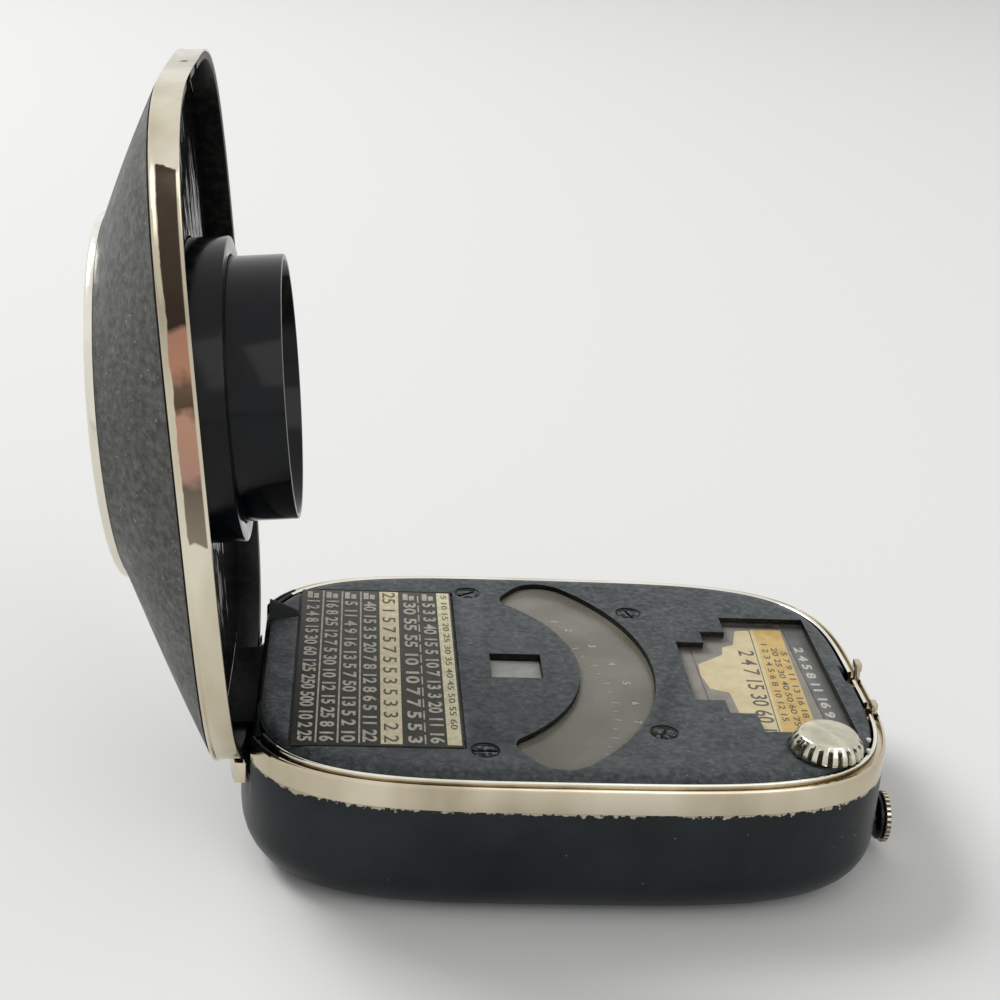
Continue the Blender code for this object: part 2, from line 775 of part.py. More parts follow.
def make_dial_plate():
    edge = plate_inset()
    low = plate_bottom()
    rings = [oval_ring(edge, low), oval_ring(edge, low + PLATE_EDGE_RISE)]
    start = low + PLATE_EDGE_RISE
    rise = rim(PLATE_RISE) - start
    for across, up in PLATE_SHOULDER_SHARES + ((1, 1),):
        rings.append(oval_ring(edge + PLATE_SHOULDER * across, start + rise * up))
    plate = skin(rings)
    through = (low - OVERRUN, rim(PLATE_RISE) + OVERRUN)
    half = SIGHT_SIZE / 2
    plate = cut(plate, prism(sector(ARC_INNER, ARC_OUTER, ARC_HALF_ANGLE), *through))
    plate = cut(plate, prism(stepped_outline(), *through))
    plate = cut(plate, block((SIGHT_X - half, SIGHT_X + half), (-half, half), through))
    for place in plate_screw_places():
        plate = cut(plate, plate_screw_hole(place, through))
    half_length = TABLE_LENGTH / 2 + SEAT
    half_width = TABLE_WIDTH / 2 + SEAT
    pocket = rim(PLATE_RISE + TABLE_PROUD - TABLE_THICKNESS) - SEAT
    plate = cut(plate, block((TABLE_X - half_length, TABLE_X + half_length), (-half_width, half_width),
                             (pocket, through[1])))
    well = cylinder(KNOB_RADIUS + SEAT, rim(PLATE_RISE - KNOB_WELL_DEPTH), through[1], (KNOB_X, KNOB_Y),
                    MIDDLE_STEPS)
    plate = cut(plate, well, cylinder(STAFF_RADIUS + PIVOT_RUN, *through, (KNOB_X, KNOB_Y)))
    return finish("dial_plate", cut(plate, *edge_notches(through)), black_paint())


def plate_screw_hole(place, through):
    """A countersunk hole with room for its screw."""
    hole = PLATE_SCREW_SHANK + SEAT
    head = PLATE_SCREW_HEAD + SEAT
    top = rim(PLATE_RISE - PLATE_SCREW_SINK)
    profile = [(hole, through[0]), (hole, top - PLATE_SCREW_CONE), (head, top - EDGE_BREAK),
               (head, through[1])]
    return turned(profile, (*place, 0), SMALL_STEPS)


def edge_notches(through):
    """Notches in the plate's ends for the lid's hinge leaf and the latch."""
    leaf = lid_leaf_x()[1] + 2 * SEAT
    half = LID_KNUCKLE_HALF + 2 * SEAT
    latch = CASE_LENGTH / 2 - EDGE_NOTCH_INSET
    return (block((-LARGE, leaf), (-half, half), through),
            block((latch, LARGE), (HOOK_Y - HOOK_HEAD, HOOK_Y + HOOK_HEAD + LATCH_TRAVEL), through))


def lid_leaf_x():
    outer = -CASE_LENGTH / 2 + LID_WALL + SEAT
    return (outer, outer + LEAF_THICKNESS)


def make_table_plate():
    half_length = TABLE_LENGTH / 2
    half_width = TABLE_WIDTH / 2
    top = rim(PLATE_RISE + TABLE_PROUD)
    plate = block((TABLE_X - half_length, TABLE_X + half_length), (-half_width, half_width),
                  (top - TABLE_THICKNESS, top))
    return finish("table_plate", plate, scale_card())


def make_plate_screws():
    top = rim(PLATE_RISE - PLATE_SCREW_SINK)
    for i, (x, y) in enumerate(plate_screw_places()):
        profile = [(PLATE_SCREW_SHANK, rim(PLATE_RISE - PLATE_SCREW_LENGTH)),
                   (PLATE_SCREW_SHANK, top - PLATE_SCREW_CONE), (PLATE_SCREW_HEAD, top - EDGE_BREAK),
                   (PLATE_SCREW_HEAD, top)]
        body = turned(profile, (x, y, 0), SMALL_STEPS)
        body = slotted(body, x, y, top, PLATE_SCREW_HEAD, i * SCREW_TURN)
        finish(f"plate_screw_{i + 1}", body, black_steel())


def make_windows():
    top = plate_bottom() - WINDOW_GAP
    low = top - WINDOW_GLASS
    reach = ARC_HALF_ANGLE + WINDOW_MARGIN / ARC_OUTER
    pane = prism(sector(SCALE_INNER, ARC_OUTER + WINDOW_MARGIN, reach), low, top)
    finish("arc_window", within_case(pane, plate_inset()), clear_window())
    finish("calculator_window", prism(stepped_outline(WINDOW_MARGIN), low, top), clear_window())


def make_chassis():
    """The movement's base plate, with its feet, bridge posts and scale posts."""
    low = FLOOR_THICKNESS + CHASSIS_RISE
    top = chassis_top()
    centre = PIVOT_X + CHASSIS_SHIFT
    reach_x = CHASSIS_LENGTH / 2 - CHASSIS_CORNER
    reach_y = CHASSIS_WIDTH / 2 - CHASSIS_CORNER
    plan = []
    for i, (sx, sy) in enumerate(((1, -1), (1, 1), (-1, 1), (-1, -1))):
        start = (i - 1) * math.pi / 2
        corner = (centre + sx * reach_x, sy * reach_y)
        plan += arc(corner, CHASSIS_CORNER, start, start + math.pi / 2, CORNER_STEPS)
    chassis = prism(plan, low, top)
    foot_low = FLOOR_THICKNESS + SEAT
    for place in chassis_screw_places():
        chassis = fuse(chassis, cylinder(BOSS_RADIUS, foot_low, (low + top) / 2, place))
        chassis = cut(chassis, cylinder(SMALL_SCREW_SHANK + PIVOT_RUN, 0, top + OVERRUN, place))
    chassis = cut(chassis, cylinder(JEWEL_RADIUS + PIVOT_RUN, 0, top + OVERRUN, (PIVOT_X, 0)))
    post_top = rim(BRIDGE_TOP - BRIDGE_THICKNESS) - SEAT
    for place in bridge_screw_places():
        chassis = fuse(chassis, cylinder(BRIDGE_POST_RADIUS, (low + top) / 2, post_top, place))
        hole_low = post_top - BRIDGE_SCREW_DEPTH
        chassis = cut(chassis, cylinder(SMALL_SCREW_SHANK + PIVOT_RUN, hole_low, post_top + OVERRUN, place))
    post_top = rim(SCALE_Z - SCALE_THICKNESS) - SEAT
    for place in scale_post_places():
        chassis = fuse(chassis, cylinder(SCALE_POST_RADIUS, (low + top) / 2, post_top, place))
    return finish("chassis_plate", chassis, brass())


def make_movement_screws():
    depth = CHASSIS_THICKNESS + CHASSIS_RISE - SEAT
    for i, (x, y) in enumerate(chassis_screw_places()):
        cheese_screw(f"chassis_screw_{i + 1}", x, y, chassis_top() + SEAT, depth, i * SCREW_TURN)
    for i, (x, y) in enumerate(bridge_screw_places()):
        depth = BRIDGE_THICKNESS + BRIDGE_SCREW_DEPTH - SEAT
        cheese_screw(f"bridge_screw_{i + 1}", x, y, rim(BRIDGE_TOP) + PIVOT_RUN, depth, i * SCREW_TURN)


def ring_piece(inner, outer, start, end, low, high, steps):
    """Part of a ring round the pointer's pivot."""
    plan = arc((PIVOT_X, 0), outer, start, end, steps) + arc((PIVOT_X, 0), inner, end, start, steps)
    return prism(plan, low, high)


def make_magnet():
    low = coil_middle() - MAGNET_HEIGHT / 2
    high = coil_middle() + MAGNET_HEIGHT / 2
    magnet = ring_piece(MAGNET_INNER, MAGNET_OUTER, MAGNET_OPENING, 2 * math.pi - MAGNET_OPENING, low, high,
                        ARC_STEPS)
    foot_low = chassis_top() + SEAT
    foot = cylinder(MAGNET_FOOT, foot_low, coil_middle(), (PIVOT_X - (MAGNET_INNER + MAGNET_OUTER) / 2, 0))
    finish("magnet", fuse(magnet, foot), steel())
    reach = (POLE_INNER + POLE_OUTER) / 2
    for i, side in enumerate((-1, 1)):
        start = side * math.pi / 2 - POLE_HALF_ANGLE
        end = side * math.pi / 2 + POLE_HALF_ANGLE
        pole = ring_piece(POLE_INNER, POLE_OUTER, start, end, low, high, FINE_STEPS)
        foot = cylinder(POLE_FOOT, foot_low, coil_middle(), (PIVOT_X, side * reach), FINE_STEPS)
        finish(f"pole_piece_{i + 1}", fuse(pole, foot), black_steel())


def make_core():
    """The iron core inside the coil, held by an arm that passes between the pole pieces."""
    low = coil_middle() - MAGNET_HEIGHT / 2
    high = coil_middle() + MAGNET_HEIGHT / 2
    core = washer(CORE_BORE, CORE_RADIUS, low, high, (PIVOT_X, 0), ARC_STEPS)
    half = CORE_ARM_WIDTH / 2
    end = PIVOT_X - POLE_INNER - CORE_ARM_WIDTH / 2
    arm = block((end, PIVOT_X - (CORE_RADIUS + CORE_BORE) / 2), (-half, half), (high - CORE_ARM_WIDTH, high))
    leg = block((end, end + CORE_ARM_WIDTH), (-half, half), (chassis_top() + SEAT, high - CORE_ARM_WIDTH / 2))
    return finish("core", fuse(core, arm, leg), black_steel())


def turn_to_zero(mesh_data):
    """Turns a piece made at the origin to the pointer's zero and moves it to the pivot."""
    mesh_data.transform(Matrix.Translation((PIVOT_X, 0, 0)) @ Matrix.Rotation(POINTER_ZERO, 4, "Z"))


def make_coil():
    """The moving coil: an upright frame round the core, square to the pointer."""
    half = COIL_WIDTH / 2
    coil = block((-half, half), (-COIL_OUTER, COIL_OUTER), (rim(COIL_BOTTOM), rim(COIL_TOP)))
    inner = block((-half - OVERRUN, half + OVERRUN), (-COIL_INNER, COIL_INNER),
                  (rim(COIL_BOTTOM + COIL_BAR), rim(COIL_TOP - COIL_BAR)))
    hole = cylinder(SPINDLE_RADIUS + PIVOT_RUN, rim(COIL_BOTTOM - OVERRUN), rim(COIL_TOP + OVERRUN))
    coil = cut(coil, inner, hole)
    turn_to_zero(coil)
    finish("moving_coil", coil, brass(), (PIVOT_X, 0, 0))
    profile = [(PIVOT_RADIUS / 2, SPINDLE_BOTTOM), (PIVOT_RADIUS, SPINDLE_BOTTOM + PIVOT_LENGTH / 2),
               (SPINDLE_RADIUS, SPINDLE_BOTTOM + PIVOT_LENGTH), (SPINDLE_RADIUS, SPINDLE_TOP - PIVOT_LENGTH),
               (PIVOT_RADIUS, SPINDLE_TOP - PIVOT_LENGTH / 2), (PIVOT_RADIUS / 2, SPINDLE_TOP)]
    spindle = turned([(radius, rim(z)) for radius, z in profile], (PIVOT_X, 0, 0), FINE_STEPS)
    return finish("spindle", spindle, steel(), (PIVOT_X, 0, 0))


def make_pointer():
    low = rim(POINTER_Z)
    high = low + POINTER_THICKNESS
    half = POINTER_WIDTH / 2
    tip = POINTER_TIP / 2
    arm = prism([(0, -half), (POINTER_LENGTH, -tip), (POINTER_LENGTH, tip), (0, half)], low, high)
    tail = block((-POINTER_TAIL, 0), (-half, half), (low, high))
    pointer = fuse(cylinder(POINTER_HUB, low, high), arm, tail)
    pointer = cut(pointer, cylinder(POINTER_HOLE, low - OVERRUN, high + OVERRUN))
    turn_to_zero(pointer)
    finish("pointer", pointer, black_steel(), (PIVOT_X, 0, 0))
    end = -POINTER_TAIL - SEAT / 2
    weight = turned([(WEIGHT_RADIUS, -WEIGHT_LENGTH), (WEIGHT_RADIUS, 0)], (end, 0, (low + high) / 2),
                    FINE_STEPS, along="X")
    turn_to_zero(weight)
    return finish("balance_weight", weight, brass(), (PIVOT_X, 0, 0))


def make_hairspring(name, z):
    """A flat spiral round the spindle, as one unbroken wire."""
    count = round(HAIRSPRING_TURNS * HAIRSPRING_STEPS)
    points = []
    for i in range(count + 1):
        turns = i / HAIRSPRING_STEPS
        radius = HAIRSPRING_INNER + HAIRSPRING_PITCH * turns
        angle = 2 * math.pi * turns
        points.append(Vector((PIVOT_X + radius * math.cos(angle), radius * math.sin(angle), rim(z))))
    lap = HAIRSPRING_STEPS
    gap = min((a - b).length for a, b in zip(points, points[lap:])) - 2 * HAIRSPRING_WIRE
    print(name, "least gap between turns", round(gap / MM, 2), "mm")
    rings = []
    up = Vector((0, 0, HAIRSPRING_WIRE))
    for i, point in enumerate(points):
        run = points[min(i + 1, count)] - points[max(i - 1, 0)]
        side = run.cross(up).normalized() * HAIRSPRING_WIRE
        rings.append([point + side, point + up, point - side, point - up])
    return finish(name, skin(rings), brass(), (PIVOT_X, 0, 0))


def make_bridge():
    """The bridge over the movement and the jewels that carry the spindle's points."""
    low = rim(BRIDGE_TOP - BRIDGE_THICKNESS)
    high = rim(BRIDGE_TOP)
    half = BRIDGE_WIDTH / 2
    plan = arc((PIVOT_X, BRIDGE_HALF_SPAN), half, 0, math.pi, CORNER_STEPS)
    plan += arc((PIVOT_X, -BRIDGE_HALF_SPAN), half, math.pi, 2 * math.pi, CORNER_STEPS)
    bridge = prism(plan, low, high)
    for place in bridge_screw_places():
        bridge = cut(bridge, cylinder(SMALL_SCREW_SHANK + PIVOT_RUN, low - OVERRUN, high + OVERRUN, place))
    bridge = cut(bridge, cylinder(JEWEL_RADIUS + PIVOT_RUN, low - OVERRUN, high + OVERRUN, (PIVOT_X, 0)))
    finish("movement_bridge", bridge, brass())
    cup = PIVOT_RADIUS + PIVOT_RUN
    bottom = rim(SPINDLE_BOTTOM)
    jewel = cylinder(JEWEL_RADIUS, chassis_top() - CHASSIS_THICKNESS, bottom + JEWEL_CUP, (PIVOT_X, 0))
    cutter = cylinder(cup, bottom - PIVOT_RUN, bottom + OVERRUN, (PIVOT_X, 0))
    finish("lower_jewel", cut(jewel, cutter), ruby())
    top = rim(SPINDLE_TOP)
    jewel = cylinder(JEWEL_RADIUS, top - JEWEL_CUP, high, (PIVOT_X, 0))
    cutter = cylinder(cup, top - OVERRUN, top + PIVOT_RUN, (PIVOT_X, 0))
    return finish("upper_jewel", cut(jewel, cutter), ruby())


def make_scale_plate():
    top = rim(SCALE_Z)
    plate = prism(sector(SCALE_INNER, SCALE_OUTER, SCALE_HALF_ANGLE), top - SCALE_THICKNESS, top)
    return finish("scale_plate", within_case(plate, plate_inset() + SEAT), scale_card())


def gear_module():
    return 2 * PINION_RADIUS / PINION_TEETH


def pinion_outline():
    """An involute pinion with one tooth towards the rack."""
    base = PINION_RADIUS * math.cos(PRESSURE_ANGLE)
    tip = PINION_RADIUS + ADDENDUM_SHARE * gear_module()
    root = PINION_RADIUS - DEDENDUM_SHARE * gear_module()
    involute = math.tan(PRESSURE_ANGLE) - PRESSURE_ANGLE
    half_tooth = (math.pi * gear_module() - TOOTH_PLAY) / (4 * PINION_RADIUS)
    flank = [(root, half_tooth + involute)]
    for i in range(FLANK_STEPS + 1):
        radius = base + (tip - base) * i / FLANK_STEPS
        angle = math.acos(base / radius)
        flank.append((radius, half_tooth + involute - (math.tan(angle) - angle)))
    polar = []
    for tooth in range(PINION_TEETH):
        middle = math.pi + 2 * math.pi * tooth / PINION_TEETH
        polar += [(radius, middle - lean) for radius, lean in flank]
        polar += [(radius, middle + lean) for radius, lean in reversed(flank)]
    return [(radius * math.cos(a), radius * math.sin(a)) for radius, a in polar]


def rack_teeth(pitch_x):
    """Rack teeth facing the pinion, with a gap between two of them at the pinion's height."""
    pitch = math.pi * gear_module()
    rise = ADDENDUM_SHARE * gear_module()
    fall = DEDENDUM_SHARE * gear_module()
    half = (pitch - TOOTH_PLAY) / 4
    lean = math.tan(PRESSURE_ANGLE)
    points = []
    for i in range(-RACK_LOW_TEETH, RACK_HIGH_TEETH):
        middle = KNOB_Y + (i + 1 / 2) * pitch
        points.append((pitch_x - fall, middle - half - fall * lean))
        points.append((pitch_x + rise, middle - half + rise * lean))
        points.append((pitch_x + rise, middle + half - rise * lean))
        points.append((pitch_x - fall, middle + half + fall * lean))
    return points


def rack_x():
    """The rack's left side, the middle of its posts and its pitch line."""
    pitch_x = KNOB_X - PINION_RADIUS
    left = pitch_x - DEDENDUM_SHARE * gear_module() - RACK_WIDTH
    return left, left + RACK_WIDTH / 2, pitch_x


def make_card():
    card_low, _, _, gear_top = calculator_levels()
    x0, x1, x2, x3 = CARD_STEP_X
    y0, y1, y2 = CARD_LOW_STEP_Y
    h0, h1 = CARD_HIGH_STEP_Y
    plan = [(CARD_RIGHT, CARD_BOTTOM), (CARD_RIGHT, CARD_TOP), (x2, CARD_TOP), (x2, h1), (x1, h1), (x1, h0),
            (x0, h0), (x0, y0), (x1, y0), (x1, y1), (x2, y1), (x2, y2), (x3, y2), (x3, CARD_BOTTOM)]
    finish("calculator_card", prism(plan, card_low, rim(CARD_Z)), scale_card(), (KNOB_X, 0, 0))
    left, post_x, pitch_x = rack_x()
    teeth = rack_teeth(pitch_x)
    tail = RACK_POST_Y[1] + RACK_TAIL
    plan = [(left, teeth[0][1])] + teeth + [(teeth[-1][0], tail), (left, tail)]
    rack = prism(plan, gear_top - PINION_THICKNESS, gear_top)
    post_low = gear_top - PINION_THICKNESS / 2
    for y in RACK_POST_Y:
        post = cylinder(RACK_POST, post_low, card_low - SEAT / 2, (post_x, y), FINE_STEPS)
        rack = fuse(rack, post)
    return finish("calculator_rack", rack, brass(), (KNOB_X, 0, 0))


def make_calculator_back():
    """The printed back plate of the calculator, slotted for the rack's posts."""
    _, back_top, back_low, _ = calculator_levels()
    back = block((BACK_LEFT, BACK_RIGHT), (-BACK_HALF_WIDTH, BACK_HALF_WIDTH), (back_low, back_top))
    half = RACK_POST + RUN
    post_x = rack_x()[1]
    for y in RACK_POST_Y:
        plan = arc((post_x, y), half, math.pi, 2 * math.pi, CORNER_STEPS)
        plan += arc((post_x, y + CARD_TRAVEL), half, 0, math.pi, CORNER_STEPS)
        back = cut(back, prism(plan, back_low - OVERRUN, back_top + OVERRUN))
    return finish("calculator_back", back, scale_card())


def fluted_ring(rise, radius, low):
    """One ring of the knob's side, drawn in at each flute but flat at the top."""
    ring = []
    count = KNOB_FLUTES * 4
    for i in range(count):
        angle = 2 * math.pi * i / count
        depth = KNOB_FLUTE_DEPTH if i % 4 in (1, 2) and rise < 1 else 0
        reach = radius - depth
        ring.append(Vector((reach * math.cos(angle), reach * math.sin(angle), low + KNOB_HEIGHT * rise)))
    return ring


def make_knob():
    """The fluted cone with its staff, clip and pinion."""
    place = (KNOB_X, KNOB_Y)
    origin = (KNOB_X, KNOB_Y, 0)
    low = rim(PLATE_RISE - KNOB_WELL_DEPTH) + SEAT
    spread = KNOB_RADIUS - KNOB_TOP_RADIUS
    knob = skin([fluted_ring(rise, KNOB_TOP_RADIUS + spread * out, low) for out, rise in KNOB_SIDE_SHARES])
    knob.transform(Matrix.Translation(origin))
    bore_top = low + KNOB_HEIGHT / 2
    knob = cut(knob, cylinder(STAFF_RADIUS + PIVOT_RUN, low - OVERRUN, bore_top, place))
    finish("calculator_knob", knob, nickel(), origin)
    gear_top = calculator_levels()[3]
    gear_low = gear_top - PINION_THICKNESS
    staff = cylinder(STAFF_RADIUS, gear_low - SEAT, bore_top - PIVOT_RUN, place)
    finish("knob_staff", staff, steel(), origin)
    clip_top = plate_bottom() - SEAT
    clip_low = clip_top - CLIP_THICKNESS
    clip = washer(STAFF_RADIUS + PIVOT_RUN, CLIP_RADIUS, clip_low, clip_top, place, SMALL_STEPS)
    opening = block((KNOB_X - CLIP_GAP / 2, KNOB_X + CLIP_GAP / 2), (KNOB_Y - 2 * CLIP_RADIUS, KNOB_Y),
                    (clip_top - OVERRUN, clip_top + OVERRUN))
    finish("knob_clip", cut(clip, opening), steel(), origin)
    pinion = prism(pinion_outline(), gear_low, gear_top)
    pinion = cut(pinion, cylinder(STAFF_RADIUS + PIVOT_RUN, gear_low - OVERRUN, gear_top + OVERRUN))
    pinion.transform(Matrix.Translation(origin))
    return finish("calculator_pinion", pinion, brass(), origin)


def knurled_ring(x, radius):
    """One ring of the adjusting knob's knurled edge."""
    ring = []
    count = ADJUSTER_TEETH * 2
    for i in range(count):
        angle = 2 * math.pi * i / count
        reach = radius - (ADJUSTER_TOOTH_DEPTH if i % 2 else 0)
        ring.append(Vector((x, reach * math.cos(angle), reach * math.sin(angle))))
    return ring


def make_adjuster():
    """The knurled knob on the end wall, with its flange, shaft, cam and clip."""
    origin = (CASE_LENGTH / 2, ADJUSTER_Y, rim(ADJUSTER_Z))
    flange_end = SEAT + ADJUSTER_BACK
    profile = [(ADJUSTER_FACE - ADJUSTER_CHAMFER, SEAT), (ADJUSTER_FACE, SEAT + ADJUSTER_BACK / 2),
               (ADJUSTER_FACE, flange_end)]
    flange = turned(profile, origin, MIDDLE_STEPS, along="X")
    flange = cut(flange, cross_hole(ADJUSTER_SHAFT + PIVOT_RUN, origin))
    finish("adjuster_flange", flange, black_moulding(), origin)
    start = flange_end + PIVOT_RUN
    end = start + ADJUSTER_RIM
    knurl = skin([knurled_ring(start, ADJUSTER_RADIUS), knurled_ring(end - EDGE_BREAK, ADJUSTER_RADIUS),
                  knurled_ring(end, ADJUSTER_RADIUS - EDGE_BREAK)])
    knurl.transform(Matrix.Translation(origin))
    bore_end = end - ADJUSTER_RIM / 2
    bore = turned([(ADJUSTER_SHAFT + PIVOT_RUN, 0), (ADJUSTER_SHAFT + PIVOT_RUN, bore_end)], origin,
                  SMALL_STEPS, along="X")
    finish("adjuster_knob", cut(knurl, bore), nickel(), origin)
    shaft = turned([(ADJUSTER_SHAFT, -ADJUSTER_SHAFT_LENGTH), (ADJUSTER_SHAFT, bore_end - PIVOT_RUN)], origin,
                   SMALL_STEPS, along="X")
    centre = (origin[0], origin[1], origin[2] + ADJUSTER_CAM_OFFSET)
    cam_end = ADJUSTER_CAM_LENGTH - ADJUSTER_SHAFT_LENGTH
    profile = [(ADJUSTER_CAM, -ADJUSTER_SHAFT_LENGTH), (ADJUSTER_CAM, cam_end)]
    cam = turned(profile, centre, ARC_STEPS, along="X")
    finish("adjuster_shaft", fuse(shaft, cam), steel(), origin)
    face = -ADJUSTER_CLIP_INSET
    clip = washer(ADJUSTER_SHAFT + PIVOT_RUN, ADJUSTER_CLIP, face - CLIP_THICKNESS, face, steps=SMALL_STEPS)
    clip = cut(clip, block((-CLIP_GAP / 2, CLIP_GAP / 2), (0, LARGE), (-LARGE, LARGE)))
    clip.transform(Matrix.Translation(origin) @ Matrix.Rotation(math.pi / 2, 4, "Y"))
    return finish("adjuster_clip", clip, steel(), origin)


def make_latch():
    """The latch slide: a bar under the plate with a hook and an arm that come up through the rim."""
    hook = hook_x()
    bar = bar_x()
    low, high = bar_z()
    inset = (BUTTON_LENGTH - HOOK_STEM) / 2
    stem_y = (HOOK_Y, HOOK_Y + HOOK_STEM)
    post_y = (BUTTON_Y + inset, BUTTON_Y + BUTTON_LENGTH - inset)
    slide = block(bar, bar_y(), (low, high))
    for span in (stem_y, post_y):
        slide = fuse(slide, block((bar[1] - BAR_WIDTH / 2, hook[1]), span, (low, high)))
    slide = fuse(slide, block(hook, stem_y, (low, rim(HOOK_HEAD_HIGH))))
    head = block((hook[0], hook[1] + HOOK_REACH), (HOOK_Y, HOOK_Y + HOOK_HEAD),
                 (rim(HOOK_HEAD_LOW), rim(HOOK_HEAD_HIGH)))
    slide = fuse(slide, head, block(hook, post_y, (low, rim(BUTTON_LOW) - SEAT)))
    finish("latch_slide", slide, nickel())
    middle = (hook[0] + hook[1]) / 2
    half = BUTTON_THICKNESS / 2
    button = block((middle - half, middle + half), (BUTTON_Y, BUTTON_Y + BUTTON_LENGTH),
                   (rim(BUTTON_LOW), rim(BUTTON_HIGH)))
    return finish("latch_button", button, nickel())


def knuckle(low, high, web):
    """One hinge knuckle round the pin, fused with the web that carries it."""
    centre = (PIN_X, 0, rim(PIN_Z))
    barrel = turned([(KNUCKLE_RADIUS, low), (KNUCKLE_RADIUS, high)], centre, SMALL_STEPS, along="Y")
    bore = turned([(PIN_RADIUS + PIN_PLAY, low - OVERRUN), (PIN_RADIUS + PIN_PLAY, high + OVERRUN)], centre,
                  SMALL_STEPS, along="Y")
    return cut(fuse(barrel, web), bore)


def make_hinge(lid):
    """The case's leaf with its rivets, the pin, the lid's leaf and the strap outside the lid's end."""
    origin = (PIN_X, 0, rim(PIN_Z))
    leaf_x = (NOTCH_FACE_X - SEAT - LEAF_THICKNESS, NOTCH_FACE_X - SEAT)
    inner = LID_KNUCKLE_HALF + KNUCKLE_GAP
    low = rim(-NOTCH_DEPTH) + SEAT
    top = rim(PIN_Z) + KNUCKLE_RADIUS / 2
    bottom = rim(PIN_Z) - KNUCKLE_RADIUS
    leaf = block(leaf_x, (-HINGE_HALF_WIDTH, HINGE_HALF_WIDTH), (low, bottom - RUN))
    for side in (-1, 1):
        span = sorted((side * inner, side * HINGE_HALF_WIDTH))
        leaf = fuse(leaf, block(leaf_x, span, (bottom - 2 * RUN, top)))
        web = block((PIN_X, leaf_x[0] + LEAF_THICKNESS / 2), span, (bottom, rim(PIN_Z)))
        leaf = fuse(leaf, knuckle(span[0], span[1], web))
    for x, y, z in rivet_places():
        face = leaf_x[0] - x
        profile = [(RIVET_RADIUS, face - RIVET_HEAD), (RIVET_RADIUS, face + LEAF_THICKNESS / 2),
                   (RIVET_SHANK, face + LEAF_THICKNESS / 2), (RIVET_SHANK, HINGE_BLOCK - SEAT)]
        leaf = fuse(leaf, turned(profile, (x, y, z), FINE_STEPS, along="X"))
    finish("hinge_case_leaf", leaf, nickel(), origin)
    profile = [(PIN_RADIUS, -HINGE_HALF_WIDTH), (PIN_RADIUS, HINGE_HALF_WIDTH)]
    pin = turned(profile, origin, FINE_STEPS, along="Y")
    finish("hinge_pin", pin, steel(), origin)
    span = (-LID_KNUCKLE_HALF, LID_KNUCKLE_HALF)
    plate = block(lid_leaf_x(), span, (rim(PIN_Z), lid_z(LID_BAND)))
    web = block((lid_leaf_x()[0], PIN_X), span, (rim(PIN_Z), rim(PIN_Z) + KNUCKLE_RADIUS))
    leaf = knuckle(span[0], span[1], fuse(plate, web))
    finish("hinge_lid_leaf", leaf, nickel(), origin, lid)
    strap = []
    for i in range(STRAP_STEPS + 1):
        y = STRAP_HALF_WIDTH * (2 * i / STRAP_STEPS - 1)
        across = abs(y) / (CASE_WIDTH / 2)
        strap.append((-CASE_LENGTH / 2 * (1 - across ** CORNER_POWER) ** (1 / CORNER_POWER) - SEAT, y))
    back = -CASE_LENGTH / 2 - STRAP_REACH
    strap += [(back, STRAP_HALF_WIDTH), (back, -STRAP_HALF_WIDTH)]
    bar = prism(strap, rim(STRAP_LOW), rim(STRAP_LOW + STRAP_HEIGHT))
    return finish("hinge_strap", bar, nickel(), origin, lid)


def make_lead_guard():
    """The black guard that stands by the hinge over the dial plate."""
    low = rim(PLATE_RISE) + SEAT
    left = PIN_X - GUARD_BACK
    profile = [(left + GUARD_LENGTH * along, low + GUARD_HEIGHT * up) for along, up in GUARD_SHARES]
    guard = side_prism(profile, GUARD_Y - GUARD_WIDTH / 2, GUARD_Y + GUARD_WIDTH / 2)
    return finish("lead_guard", guard, black_moulding())


def make_lid_frame(lid):
    top = LID_BAND + LID_BEAD - SEAT
    section = [(0, 0), (0, LID_BAND), (-BEAD_PROUD, LID_BAND + BEAD_PROUD), (-BEAD_PROUD, top - BEAD_PROUD),
               (0, top), (LID_WALL, top), (LID_WALL, 0)]
    frame = skin([oval_ring(inset, lid_z(z)) for inset, z in section], closed_section=True)
    wall = (CASE_LENGTH / 2 - LID_WALL - OVERRUN, CASE_LENGTH / 2 + OVERRUN)
    ceiling = rim(HOOK_HEAD_HIGH) + SEAT
    below = lid_z(-OVERRUN)
    entry = block(wall, (-ENTRY_HALF, ENTRY_HALF), (below, ceiling))
    pocket = block(wall, (0, POCKET_LENGTH), (lid_z(KEEPER_HEIGHT), ceiling))
    middle = BUTTON_Y + (BUTTON_LENGTH + LATCH_TRAVEL) / 2
    half = BUTTON_NOTCH / 2
    thumb = block(wall, (middle - half, middle + half), (below, rim(BUTTON_HIGH) + SEAT))
    knob_top = rim(PLATE_RISE - KNOB_WELL_DEPTH) + SEAT + KNOB_HEIGHT
    knob = cylinder(KNOB_RADIUS + SEAT, below, knob_top, (KNOB_X, KNOB_Y), MIDDLE_STEPS)
    return finish("lid_frame", cut(frame, entry, pocket, thumb, knob), nickel(), (PIN_X, 0, rim(PIN_Z)), lid)


def dome_foot():
    return lid_z(LID_BAND + LID_BEAD)


def dome_ring(share, depth):
    """A ring on the way from the frame's outline to the round bezel, at a depth below the skin."""
    bulge = DOME_BULGE * math.sin(math.pi * share)
    ring = []
    for direction in DIRECTIONS:
        outer = outline_radius(DOME_INSET + depth, direction)
        reach = outer + (BEZEL_OUTER - depth - outer) * share + bulge
        ring.append(Vector((BEZEL_X * share + reach * math.cos(direction), reach * math.sin(direction),
                            max(dome_foot() + DOME_RISE * share - depth, dome_foot()))))
    return ring


def disc_radius():
    return BEZEL_OUTER - BEZEL_WIDTH - SEAT


def dome_hole_ring(z):
    reach = disc_radius() - DISC_SHELF
    return [Vector((BEZEL_X + reach * math.cos(a), reach * math.sin(a), z)) for a in DIRECTIONS]


